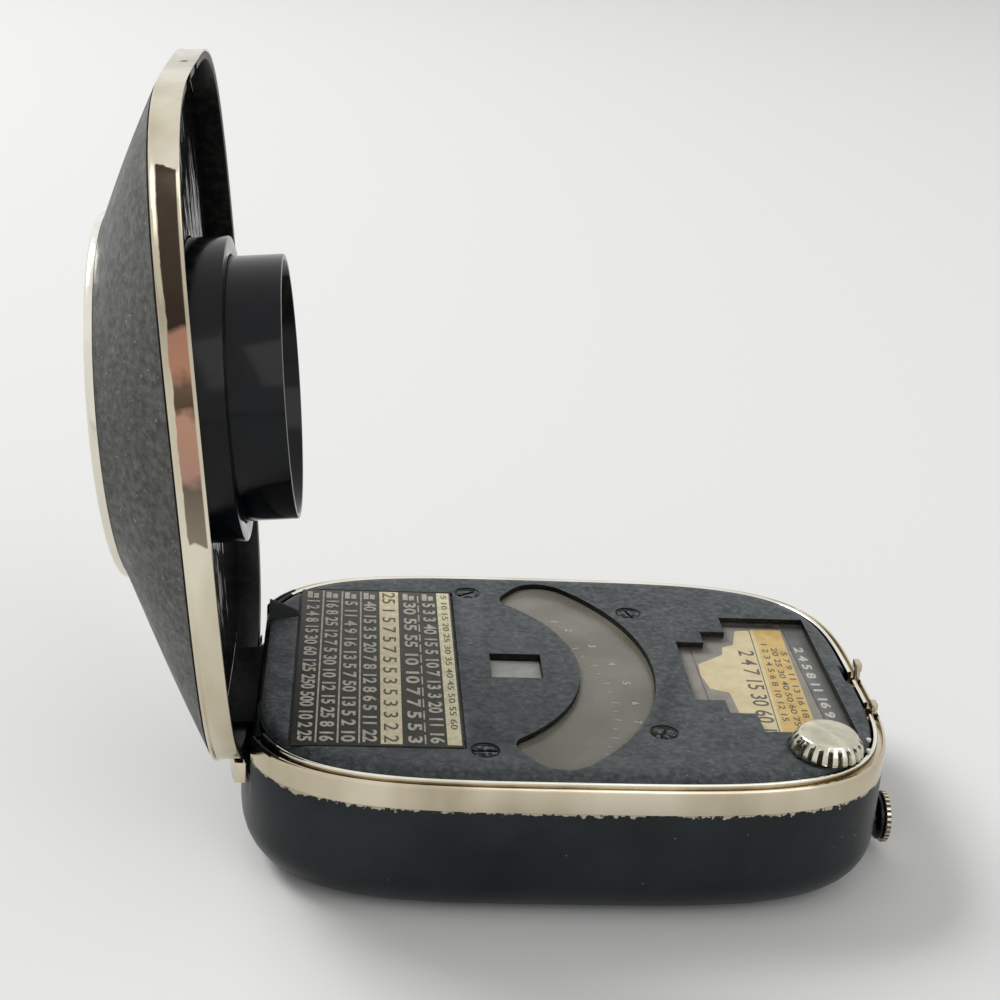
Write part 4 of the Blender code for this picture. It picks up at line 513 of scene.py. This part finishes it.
def numerals(name, words, corner, height, length, look, body="case", turn=-90, lift=0.025, weight=0.012):
    """Plain numbers in a row from a corner, as thin raised print, typed at a size of 1 and then fitted."""
    thick = 0.02
    deselect()
    bpy.ops.object.text_add()
    piece = bpy.context.object
    piece.name = name
    piece.data.body = words
    piece.data.size = 1
    piece.data.offset = weight
    piece.data.extrude = thick
    piece.data.resolution_u = 3
    bpy.ops.object.convert(target="MESH")
    xs = [v.co.x for v in piece.data.vertices]
    ys = [v.co.y for v in piece.data.vertices]
    squeeze = Matrix.Diagonal((length * MM / (max(xs) - min(xs)), height * MM / (max(ys) - min(ys)),
                               lift * MM / (2 * thick), 1))
    start = Matrix.Translation((-min(xs), -min(ys), thick))
    place = Matrix.Translation(Vector(corner) * MM) @ Matrix.Rotation(math.radians(turn), 4, "Z")
    piece.data.transform(place @ squeeze @ start)
    return dress(piece, look, body)


def prism(name, plan, low, high):
    """A plan outline raised between two heights."""
    deselect()
    bpy.ops.mesh.primitive_plane_add(size=1, enter_editmode=True)
    piece = bpy.context.object
    piece.name = name
    shape = bmesh.from_edit_mesh(piece.data)
    for vertex in list(shape.verts):
        shape.verts.remove(vertex)
    shape.faces.new([shape.verts.new(Vector((x, y, low)) * MM) for x, y in plan])
    bmesh.update_edit_mesh(piece.data)
    bpy.ops.mesh.select_all(action="SELECT")
    bpy.ops.mesh.extrude_region()
    bpy.ops.transform.translate(value=(0, 0, (high - low) * MM))
    bpy.ops.mesh.select_all(action="SELECT")
    bpy.ops.mesh.normals_make_consistent(inside=False)
    bpy.ops.object.mode_set(mode="OBJECT")
    return piece


def strip(name, plan, low, thick, look, body="case"):
    """A thin flat inlay over a plan outline."""
    return dress(prism(name, plan, low, low + thick), look, body)


def oblong(left, right, low, high):
    """A rectangle's corners."""
    return [(left, low), (right, low), (right, high), (left, high)]


def dress_nodes():
    """Gives every CAD node its material."""
    for look, nodes in PLAIN.items():
        for node in nodes:
            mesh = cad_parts[node].data
            mesh.materials.clear()
            mesh.materials.append(LOOKS[look])


# The case

def foot_rings(inset, radius, base, steps=10):
    """Rings up the rolled foot of the case, from its bottom to its wall."""
    rings = []
    for i in range(steps + 1):
        angle = math.pi / 2 * (1 - i / steps)
        reach = outline(inset + radius * (1 - math.cos(angle)))
        rings.append((reach, 0, base + radius * (1 - math.sin(angle))))
    return rings


def hinge_notch():
    """The gap that the hinge takes in the end wall and the band."""
    return slab("notch", (-60, -31.2), (-16, 16), (RIM - 4.8, RIM + 3))


def end_hole(radius, start, stop, steps):
    """A rod through an end wall, along the case."""
    hole = loft("hole", [(circle(radius), 0, start), (circle(radius), 0, stop)], steps)
    hole.data.transform(Matrix.Rotation(math.pi / 2, 4, "Y"))
    return hole


def make_case():
    """The drawn shell with its rolled foot, and the block inside its end that carries the hinge."""
    rings = foot_rings(0, FOOT, 0)
    rings += [(outline(0), 0, 8), (outline(0), 0, SEAM), (outline(WALL), 0, SEAM)]
    rings += reversed(foot_rings(WALL, FOOT - WALL, WALL))
    shell = loft("case_shell", rings)
    block = slab("hinge_block", (-34.3, -29.9), (-17.2, 17.2), (RIM - 6.1, RIM - 2.95))
    bound = outline(WALL / 2)
    carve(block, loft("bound", [(bound, 0, 0), (bound, 0, RIM)]), operation="INTERSECT")
    carve(shell, block, operation="UNION")
    carve(shell, hinge_notch(), shifted(end_hole(0.8, 28, 40, 48), END_KNOB))
    return seat(shell, "case", "case", ("case_body",), 0.12)


def make_band():
    """The nickel band round the rim, with its bead, its groove and the thin lip inside."""
    section = [(0, -2.7), (0, -0.35), (0.06, -0.12), (0.18, 0), (0.32, 0), (0.36, -0.06), (0.38, -0.5),
               (0.85, -0.5), (0.87, 0.2), (0.93, 0.29), (1.05, 0.32), (1.2, 0.29), (1.28, 0.2), (1.3, -2.7)]
    rings = [(outline(inset), 0, RIM + height) for inset, height in section]
    band = loft("rim_band", rings, FINE, hollow=True)
    carve(band, hinge_notch())
    for low, high in ((-0.7, 1.3), (-8.8, -6.1)):
        carve(band, slab("slot", (32, 34.8), (low, high), (RIM - 1.9, RIM + 2)))
    seat(band, "nickel", "case", ("rim_frame",), smooth=40)
    second_look(band, "hinge", by_hinge)
    # The lip gets the brighter plate: a painted highlight.
    second_look(band, "bezel_nickel", on_lip)


def by_hinge(middle, normal):
    """The band's top beside the hinge, which takes the near-black hinge finish."""
    return middle.x < -30.5 and middle.z > RIM - 0.6 and abs(middle.y) < 20


def on_lip(middle, normal):
    """The thin lip inside the band, which takes the brighter bezel plate as a painted highlight."""
    return middle.z > RIM + 0.1 and middle.x > -30.5


def in_opening(middle, normal):
    """The cut edges of the plate's openings, which take the near-black finish as painted shade."""
    edge = outline(2.8)(math.atan2(middle.y, middle.x))
    return abs(normal.z) < 0.5 and edge > math.hypot(middle.x, middle.y)


def crescent(grow=0.0):
    """The crescent window round the pointer's pivot, with round ends, as a plan."""
    outer, inner, middle = 29.8 + grow, 21.3 - grow, 25.5
    round_out, round_in = 4.0, 2.2
    turns = [math.radians(10 * i) for i in range(10)]
    ends = []
    for side, turn in ((1, 53.6), (-1, 55.5)):
        rounds = [(outer - round_out * (1 - math.cos(angle)), round_out * (1 - math.sin(angle)))
                  for angle in turns]
        rounds += [(inner + round_in * (1 - math.sin(angle)), round_in * (1 - math.cos(angle)))
                   for angle in turns[1:]]
        ends.append([(radius, side * (math.radians(turn) + (grow - back) / middle))
                     for radius, back in rounds])
    far, near = ends
    arcs = []
    for radius, start, stop in ((inner, far[-1][1], near[-1][1]), (outer, near[0][1], far[0][1])):
        arcs.append([(radius, start + (stop - start) * i / 60) for i in range(1, 60)])
    points = far + arcs[0] + near[::-1] + arcs[1]
    return [(PIVOT_X + radius * math.cos(angle), radius * math.sin(angle)) for radius, angle in points]


def stepped(grow=0.0):
    """The stepped calculator window, widest at its right side, as a plan."""
    x0, x1, x2 = (x - grow for x in (14.5, 17.8, 20.8))
    y0, y1, y2 = (y + grow for y in (7.1, 10, 14))
    low = [(x0, -y0), (x1, -y0), (x1, -y1), (x2, -y1), (x2, -y2), (31 + grow, -y2)]
    return low + [(x, -y) for x, y in reversed(low)]


def make_plate():
    """The dial plate: a lacquered sheet with a soft shoulder, its windows, pockets and screw holes."""
    rings = [(outline(1.55), 0, 15.8), (outline(1.55), 0, 16.1)]
    for i in range(7):
        angle = math.pi / 2 * i / 6
        rings.append((outline(1.7 + 1.3 * (1 - math.cos(angle))), 0, 16.22 + 0.48 * math.sin(angle)))
    plate = loft("dial_sheet", rings, FINE)
    low, high = through = (15, 18)
    carve(plate, prism("window", crescent(), low, high), prism("steps", stepped(), low, high),
          slab("sight", (-7.7, -1.9), (-2.9, 2.9), through),
          slab("table_pocket", (-29.625, -11.275), (-19.05, 19.05), (16.23, high)),
          rod("knob_well", KNOB_WELL, 16.5, high, KNOB), rod("staff_hole", 1, low, high, KNOB, 48),
          slab("hinge_gap", (-40, -32.75), (-9.4, 9.4), through),
          slab("latch_gap", (32.6, 40), (-2, 2), through))
    sink = [(circle(radius), 0, height)
            for radius, height in ((0.85, low), (0.85, 15.93), (1.55, 16.53), (1.55, high))]
    for x, y in SCREWS:
        carve(plate, shifted(loft("sink", sink, 64), (x, y, 0)))
    seat(plate, "wrinkle", "case", ("dial_plate",), 0.1)
    # The openings' cut walls are painted near black: painted shade in the recesses.
    second_look(plate, "hinge", in_opening)
    fit = -0.04
    for node, look, plan, foot in (("arc_window", "arc_pane", crescent(fit), 15.05),
                                   ("calculator_window", "card_pane", stepped(fit), 15.65)):
        pane = prism(node + "_sheet", plan, foot, PLATE_TOP - 0.6)
        seat(pane, look, "case", (node,), 0.03)
    seat(slab("sight_card", (-7.65, -1.95), (-2.85, 2.85), (15.58, 15.8)), "sight", "case")


# The lid

def make_lid():
    """The lid's band and lining, its domed skin, the round bezel and its disc, made shut and then opened."""
    section = [(0.22, 0.06), (0.17, 0.01), (0.08, 0), (0.02, 0.04), (0, 0.12), (0, 2.2), (-0.02, 2.3),
               (-0.1, 2.42), (-0.12, 2.6), (-0.05, 2.72), (0.1, 2.76), (0.22, 2.76)]
    rings = [(outline(inset), 0, LID_BASE + height) for inset, height in section]
    band = loft("lid_band", rings, FINE, hollow=True)
    carve(band, shifted(end_hole(0.4, 33, 37, 32), (0, 0.5, RIM + 1.45)))
    seat(band, "lid_nickel", "lid", ("lid_frame",), lid=True, smooth=40)
    section = [(1, 0.3), (0.93, 0.1), (0.6, 0.04), (0.26, 0.02), (0.24, 0.1), (0.24, 2.7), (1, 2.7)]
    rings = [(outline(inset), 0, LID_BASE + height) for inset, height in section]
    lining = loft("lid_lining", rings, FINE, hollow=True)
    wall = (31, 38)
    carve(lining, slab("entry", wall, (-1.25, 1.25), (RIM - 3, RIM + 2.4)),
          slab("pocket", wall, (0, 2.6), (RIM + 0.9, RIM + 2.4)),
          slab("thumb", wall, (-9.65, -5.25), (RIM - 3, RIM + 1.6)),
          rod("well", KNOB_WELL, RIM - 3, RIM + 2.75, KNOB))
    seat(lining, "hinge", "lid", ("lid_frame",), lid=True, smooth=40)
    foot, rise, skin, mouth, steps = LID_BASE + 2.95, 7.45, 0.8, 16.55, 12
    crown = foot + rise
    rings = [(dome_reach(i / steps, 0), BEZEL_X * i / steps, foot + rise * i / steps)
             for i in range(steps + 1)]
    rings += [(circle(mouth), BEZEL_X, crown), (circle(mouth), BEZEL_X, crown - skin)]
    rings += [(dome_reach(i / steps, skin), BEZEL_X * i / steps, max(foot + rise * i / steps - skin, foot))
              for i in range(steps, -1, -1)]
    dome = loft("lid_skin", rings, FINE, hollow=True)
    for sx in (-1, 1):
        for sy in (-1, 1):
            stand = rod("stand", 1.3, RIM + 3.7, RIM + 5.6, (24 * sx, 15.5 * sy), 48)
            carve(dome, stand, operation="UNION")
    seat(dome, "dome", "lid", ("lid_dome",), lid=True)
    low = crown + 0.04
    profile = [(BEZEL_RADIUS, 0), (BEZEL_RADIUS, 0.5), (18.9, 0.72), (18.72, 0.84), (18.5, 0.86), (18.2, 0.8),
               (17.95, 0.62), (17.8, 0.4), (17.8, 0)]
    rings = [(circle(radius), BEZEL_X, low + height) for radius, height in profile]
    ring = loft("round_bezel", rings, hollow=True)
    seat(ring, "bezel_nickel", "lid", ("bezel_ring",), lid=True, smooth=50)
    top = crown + 0.7
    profile = [(17.55, -0.45), (17.55, -0.1), (17.45, -0.02), (17.3, 0), (14, 0.05), (9, 0.09), (4, 0.11),
               (1, 0.12)]
    disc = loft("domed_disc", [(circle(radius), BEZEL_X, top + height) for radius, height in profile])
    seat(disc, "dome", "lid", ("back_disc",), lid=True)


def dome_reach(share, depth):
    """From the frame's outline to the round bezel, with a slight bulge between."""
    oval = outline(0.35 + depth)
    bulge = 0.5

    def reach(angle):
        outer = oval(angle)
        return outer + (BEZEL_RADIUS - depth - outer) * share + bulge * math.sin(math.pi * share)
    return reach


def tube_sleeve(name, node, body, profile):
    """One sleeve of the light tube, from its section."""
    rings = [(circle(radius), BEZEL_X, LID_BASE + height) for radius, height in profile]
    sleeve = loft(name, rings, hollow=True)
    return seat(sleeve, "phenolic", body, (node,), lid=True, smooth=40)


def make_tube():
    """The two sleeves of the light tube, with their rolled mouths and flanges."""
    tube_sleeve("outer_sleeve", "tube_stage_1", "tube_1",
                [(15.7, -1.5), (15.88, -1.45), (15.95, -1.3), (15.95, 5.4), (15.25, 5.4), (15.25, -1),
                 (14.05, -1), (14.05, -1.35), (14.12, -1.46), (14.25, -1.5)])
    tube_sleeve("inner_sleeve", "tube_stage_2", "tube_2",
                [(13.6, -7), (13.78, -6.95), (13.85, -6.8), (13.85, -0.4), (15.05, -0.4), (15.05, 0.1),
                 (13.25, 0.1), (13.25, -6.8), (13.32, -6.95), (13.45, -7)])


def make_small_parts():
    """Smooth copies of the small pieces that show, some trimmed to clear the lid and the stop plate."""
    for node, look, body, slot_name, edge in (
            ("table_plate", "etched", "case", "scale_card", 0.12),
            *((f"plate_screw_{i + 1}", "blued", "case", "black_steel", 0.05) for i in range(len(SCREWS))),
            ("adjuster_flange", "phenolic", "adjuster", "black_moulding", 0.06),
            ("hinge_case_leaf", "hinge", "case", "nickel", 0.06),
            ("hinge_lid_leaf", "hinge", "lid", "nickel", 0.06),
            ("lid_panel", "enamel", "lid", "black_moulding", 0.1),
            ("tube_socket", "phenolic", "lid", "black_moulding", 0.1),
            ("scale_plate", "silvered", "case", "scale_card", 0.03),
            ("calculator_back", "back", "case", "scale_card", 0.03)):
        refined(node, look, body, edge)
    for node, edge, end in (("latch_slide", 0.06, 34.72), ("latch_button", 0.1, 34.55)):
        refined(node, "nickel", "latch", edge, [slab("reach", (end, 37), (-12, 5), (10, 20))])
    across, half = (-40, -30), 12.4
    refined("hinge_strap", "nickel", "lid", 0.1,
            [slab("low", across, (-20, 20), (5, 11.65)), slab("far", across, (half, 20), (5, 20)),
             slab("near", across, (-20, -half), (5, 20))])


def make_stop_plate():
    """The nickel stop plate on the case's end, below the lid's strap, with its two raised ends."""
    outer, inner = outline(-1.2), outline(-0.15)
    around = loft("around", [(outer, 0, 8), (outer, 0, 14)], FINE)
    carve(around, loft("within", [(inner, 0, 7), (inner, 0, 15)], FINE))
    carve(around, slab("rest", (-30, 60), (-40, 40), (5, 20)))
    shape = slab("shape", (-40, -30), (-15.2, 15.2), (9.9, 12.3))
    carve(shape, slab("gap", (-41, -29), (-12.6, 12.6), (11.6, 14)))
    carve(around, shape, operation="INTERSECT")
    seat(around, "nickel", "case", (), 0.15)


def make_guard():
    """The black hump of rubber by the hinge, tapering down on to the dial plate."""
    start, length, side, low = -33.0, 3.4, 12, RIM + 0.73
    guard = slab("lead_hump", (start, start + length), (-1, 1), (0, 1))
    select(guard)
    bpy.ops.object.mode_set(mode="EDIT")
    bpy.ops.mesh.select_all(action="SELECT")
    bpy.ops.mesh.subdivide(number_cuts=7)
    shape = bmesh.from_edit_mesh(guard.data)
    # The block's corners are shares of the hump here: along it, across it and up it.
    for vertex in shape.verts:
        along = (vertex.co.x / MM - start) / length
        across = vertex.co.y / MM
        up = vertex.co.z / MM
        height = (1.45 * (1 - along) ** 0.8 + 0.28) * (1 - 0.35 * across ** 2 * up)
        vertex.co.y = (side + across * (1.9 - 1.3 * along) * (1 - 0.45 * up)) * MM
        vertex.co.z = (low + height * up) * MM
    bmesh.update_edit_mesh(guard.data)
    bpy.ops.object.mode_set(mode="OBJECT")
    seat(guard, "rubber", "case", ("lead_guard",), smooth=60)


def fluted(radius, count, depth):
    """A round outline with rounded flutes cut into it."""
    def reach(angle):
        return radius - depth * max(0.0, math.cos(count * angle)) ** 0.7
    return reach


def make_knobs():
    """The calculator's fluted knob and the milled edge knob at the case's end."""
    side = [(3.86, 16.75, 0.3), (3.9, 16.8, 0.5), (3.9, 17.1, 0.55), (3.8, 17.45, 0.52), (3.62, 17.85, 0.4),
            (3.4, 18.2, 0.2), (3.18, 18.45, 0.03), (3.08, 18.58, 0), (2.95, 18.68, 0), (2.8, 18.72, 0)]
    rings = [(fluted(radius, FLUTES, depth), 0, height) for radius, height, depth in side]
    rings.append((circle(1.2), 0, 18.75))
    knob = shifted(loft("fluted_knob", rings, FLUTES * EDGES_A_FLUTE), (*KNOB, 0))
    carve(knob, rod("under", 2.2, 16, 16.95, KNOB, 64))
    seat(knob, "turned", "calculator_dial", ("calculator_knob",), smooth=40)
    # The flutes' bottoms take the darkened nickel: painted shade.
    second_look(knob, "flute_shade", in_flute)
    second_look(knob, "faced", on_face)
    profile = [(2.2, 36.1, 0), (2.75, 36.12, 0.1), (2.85, 36.2, 0.16), (2.85, 36.62, 0.16),
               (2.75, 36.72, 0.1), (2.5, 36.76, 0), (0.9, 36.76, 0), (0.9, 36.1, 0)]
    rings = [(fluted(radius, TEETH, depth), 0, place) for radius, place, depth in profile]
    edge = loft("milled_knob", rings, TEETH * EDGES_A_FLUTE, hollow=True)
    edge.data.transform(Matrix.Rotation(math.pi / 2, 4, "Y"))
    shifted(edge, END_KNOB)
    seat(edge, "nickel", "adjuster", ("adjuster_knob",), smooth=30)
    # The milling's bottoms take the darkened nickel: painted shade.
    second_look(edge, "flute_shade", in_milling)


def in_flute(middle, normal):
    """The bottoms of the calculator knob's flutes."""
    x, y = middle.x - KNOB[0], middle.y - KNOB[1]
    return 3 < math.hypot(x, y) < 3.8 and middle.z < 18.3 and math.cos(FLUTES * math.atan2(y, x)) > 0.25


def on_face(middle, normal):
    """The calculator knob's flat top."""
    return middle.z > KNOB_CROWN


def in_milling(middle, normal):
    """The bottoms of the end knob's milling."""
    y, z = middle.y - END_KNOB[1], middle.z - END_KNOB[2]
    return 2.6 < math.hypot(y, z) and math.cos(TEETH * math.atan2(y, -z)) > 0.1


# Scales and tables

def make_table():
    """The table plate's rows of numbers, ruled apart, one on a gilded strip and one on a cream strip."""
    left = -29.37 + 0.3
    rows = ((0.35, "1 2 4 8 15 30 60 125 250 500 10 2 25"), (2.6, "16 8 25 12 7 5 30 10 12 15 25 8 16"),
            (4.82, "5 11 4 9 16 13 5 7 50 13 5 2 10"), (7.05, "40 15 3 5 20 7 8 12 8 6 5 11 22"),
            (9.28, "25 1 5 7 5 7 5 5 3 5 3 3 2 2"), (11.75, "30 55 55 10 10 7 7 5 5 3"),
            (14.05, "5 3 3 40 15 5 10 7 13 3 20 11 16"))
    gilded, ruled, dashes = 4, 3, 14
    mark, inlay, half, end, tall = 0.03, 0.04, 18.5, 18.2, 1.55
    for i, (shift, words) in enumerate(rows):
        x = left + shift
        if i == gilded:
            numerals(f"table_row_{i + 1}", words, (x, end, TABLE_TOP + inlay), tall, end + end, "dark_ink",
                     weight=0.004)
            continue
        start = 15.6
        numerals(f"table_row_{i + 1}", words, (x, start, TABLE_TOP + 0.01), tall, start + end, "silver",
                 weight=0.028)
        for j in range(2):
            head = oblong(x + 0.75 * j, x + 0.6 + 0.75 * j, 16.3, 18.1 - j * 0.5)
            strip(f"table_head_{i + 1}_{j + 1}", head, TABLE_TOP, mark, "silver")
        if i < ruled:
            rule = oblong(x + 1.82, x + 2.0, -18.4, 18.4)
            strip(f"table_rule_{i + 1}", rule, TABLE_TOP, mark, "silver")
    strip("gilded_strip", oblong(left + 8.95, left + 11.2, -half, half), TABLE_TOP, inlay, "gilt")
    for i in range(dashes):
        y = -18.4 + i * 2.62
        dash = oblong(left + 13.48, left + 13.64, y, y + 1.9)
        strip(f"table_dash_{i + 1}", dash, TABLE_TOP, mark, "silver")
    strip("cream_strip", oblong(-13.25, -11.75, -half, half), TABLE_TOP, inlay, "cream_silver")
    numerals("table_row_8", "5 10 15 20 25 30 35 40 45 50 55 60", (-12.75, 17.8, TABLE_TOP + inlay), 0.7, 33,
             "dark_ink", weight=0)


def make_pointer_scale():
    """White divisions and numbers printed on the crescent window."""
    top = RIM + 0.1
    centre = Vector((-24.3, -7.4))
    near, numbers, half = 29.5, 31.7, 0.055
    for i, turn in enumerate((26.2, 17.5, 9.1, 0.4, -7.1, -14.8, -21.9, -27.4)):
        for share in (0, 1):
            angle = math.radians(turn - 3.9 * share)
            length = 0.85 - 0.4 * share
            ahead = Vector((math.cos(angle), math.sin(angle)))
            across = Vector((-ahead.y, ahead.x)) * half
            plan = [centre + ahead * radius + across * side
                    for radius, side in ((near, -1), (near + length, -1), (near + length, 1), (near, 1))]
            strip(f"division_{i + 1}_{share + 1}", plan, top, 0.02, "scale_ink")
    for i, turn in enumerate((38.9, 34.3, 26, 17.3, 8.7, 0.1, -7.6, -15.2)):
        angle = math.radians(turn)
        place = (centre.x + numbers * math.cos(angle), centre.y + numbers * math.sin(angle) + 0.4, top)
        wide = 0.6 if i else 0.2
        numerals(f"scale_number_{i + 1}", str(i + 1), place, 0.85, wide, "scale_ink", lift=0.02)


def make_calculator_print():
    """The calculator's card with its stair, its gold field and its numbers, and the margins beside it."""
    top, rides = CARD_TOP, "calculator_slide"
    card = slab("sliding_card", (16.5, 28.6), (-15.9, 13.9), (14.3, top))
    seat(card, "back", rides, ("calculator_card",), 0.03)
    for name, look, across in (("left_margin", "back", (14.3, 16.4)),
                               ("right_margin", "margin", (28.72, 31.2))):
        piece = slab(name, across, (-14.2, 14.2), (14.1, top))
        seat(piece, look, "case", ("calculator_back",), 0.03)
    stair = [(25.2, 13.2), (22.7, 12.8), (21.8, 9.0), (20.4, 8.3), (20.0, 6.4), (18.6, 5.2), (16.75, 3.8),
             (16.55, 1.2), (17.1, -2.2), (19.15, -3.1), (19.4, -7.9), (21.3, -8.2), (21.5, -12), (23.4, -12)]
    strip("cream_stair", stair, top, 0.02, "cream", rides)
    near, far = -12, 13.3
    for name, (left, right, far_right, far_left), thick, look in (
            ("gold_field", (23.3, 27.3, 28.35, 24.95), 0.03, "gold_print"),
            ("pale_stripe", (23.05, 23.4, 25.05, 24.6), 0.04, "cream"),
            ("dark_stripe", (22.95, 23.06, 24.61, 24.5), 0.04, "dark_ink")):
        plan = [(left, near), (right, near), (far_right, far), (far_left, far)]
        strip(name, plan, top, thick, look, rides)
    numerals("large_column", "2 4 7 15 30 60 1", (22.1, 7.6, top + 0.02), 1.9, 19.3, "dark_ink",
             rides, turn=-93.5, lift=0.02, weight=0.008)
    for i, words in enumerate(("1 2 3 4 5 6 8 10 12 15", "20 25 30 40 50 60 75", "5 7 9 11 13 16 18 22")):
        numerals(f"small_column_{i + 1}", words, (25.2 + i, 9.5 - i, top + 0.03), 0.75, 19, "dark_ink",
                 rides, turn=-94 + i * 0.5, lift=0.015)
    numerals("margin_numbers", "2 4 5 8 11 16 9", (29.0, 8.8, top), 1.15, 17.2, "white_ink",
             lift=0.02, weight=0.03)
    for i, (x, y) in enumerate(((31.9, -14.9), (31.3, -17.2))):
        dot = rod(f"white_dot_{i + 1}", 0.25, RIM + 0.3, RIM + 0.6, (x, y), 24)
        seat(dot, "white_ink", "case")


# The room

def make_room():
    """A pale floor, soft light from the upper left and a plain pale surround."""
    deselect()
    bpy.ops.mesh.primitive_plane_add(size=4)
    floor = bpy.context.object
    floor.name = "floor"
    # Pale paper sweep below the meter: matt, so that it takes only soft shadows.
    floor.data.materials.append(surface("pale_floor", "#f2f2f0", 0.9, Specular_IOR_Level=0.1))
    world = bpy.data.worlds.new("room")
    world.use_nodes = True
    bpy.context.scene.world = world
    light = world.node_tree.nodes["Background"]
    light.inputs["Color"].default_value = tone("#ffffff")
    light.inputs["Strength"].default_value = 0.46
    seen = add(world, "ShaderNodeBackground", {"Color": tone("#f4f4f4"), "Strength": 1.0})
    path = add(world, "ShaderNodeLightPath")
    first = add(world, "ShaderNodeMath", {"operation": "MAXIMUM"},
                {0: path.outputs["Is Camera Ray"], 1: path.outputs["Is Glossy Ray"]})
    either = add(world, "ShaderNodeMath", {"operation": "MAXIMUM"},
                 {0: first.outputs[0], 1: path.outputs["Is Transmission Ray"]})
    mix = add(world, "ShaderNodeMixShader", None,
              {0: either.outputs[0], 1: light.outputs[0], 2: seen.outputs[0]})
    world.node_tree.links.new(mix.outputs[0], world.node_tree.nodes["World Output"].inputs["Surface"])
    for name, place, size, power in (("window_light", (-0.9, 0.55, 1.15), 0.65, 13.0),
                                     ("fill_light", (0.4, -0.7, 0.7), 0.7, 1.6)):
        lamp = bpy.data.lights.new(name, "AREA")
        lamp.size = size
        lamp.energy = power
        holder = bpy.data.objects.new(name, lamp)
        bpy.context.scene.collection.objects.link(holder)
        holder.location = place
        holder.rotation_euler = (-Vector(place)).to_track_quat("-Z", "Y").to_euler()


def make_camera():
    """The camera at the photograph's place, from its right and its line of sight, made square."""
    right = Vector((0.996, -0.0659, 0.061))
    ahead = Vector((0.0839, 0.9254, -0.3696)).normalized()
    right = (right - ahead * right.dot(ahead)).normalized()
    above = right.cross(ahead)
    lens = bpy.data.cameras.new("camera")
    lens.sensor_width = 36
    lens.lens = 64.82
    lens.clip_start = 0.01
    camera = bpy.data.objects.new("camera", lens)
    bpy.context.scene.collection.objects.link(camera)
    turn = Matrix((right, above, -ahead)).transposed().to_4x4()
    camera.matrix_world = Matrix.Translation((-0.02423, -0.18059, 0.10883)) @ turn
    bpy.context.scene.camera = camera


def main():
    """Sets up the room and dresses the part, from its case to its print."""
    bpy.context.scene.view_settings.view_transform = "Standard"
    make_camera()
    make_room()
    dress_nodes()
    make_case()
    make_band()
    make_plate()
    make_lid()
    make_tube()
    make_small_parts()
    make_stop_plate()
    make_guard()
    make_knobs()
    make_table()
    make_pointer_scale()
    make_calculator_print()


main()
bpy.context.view_layer.update()
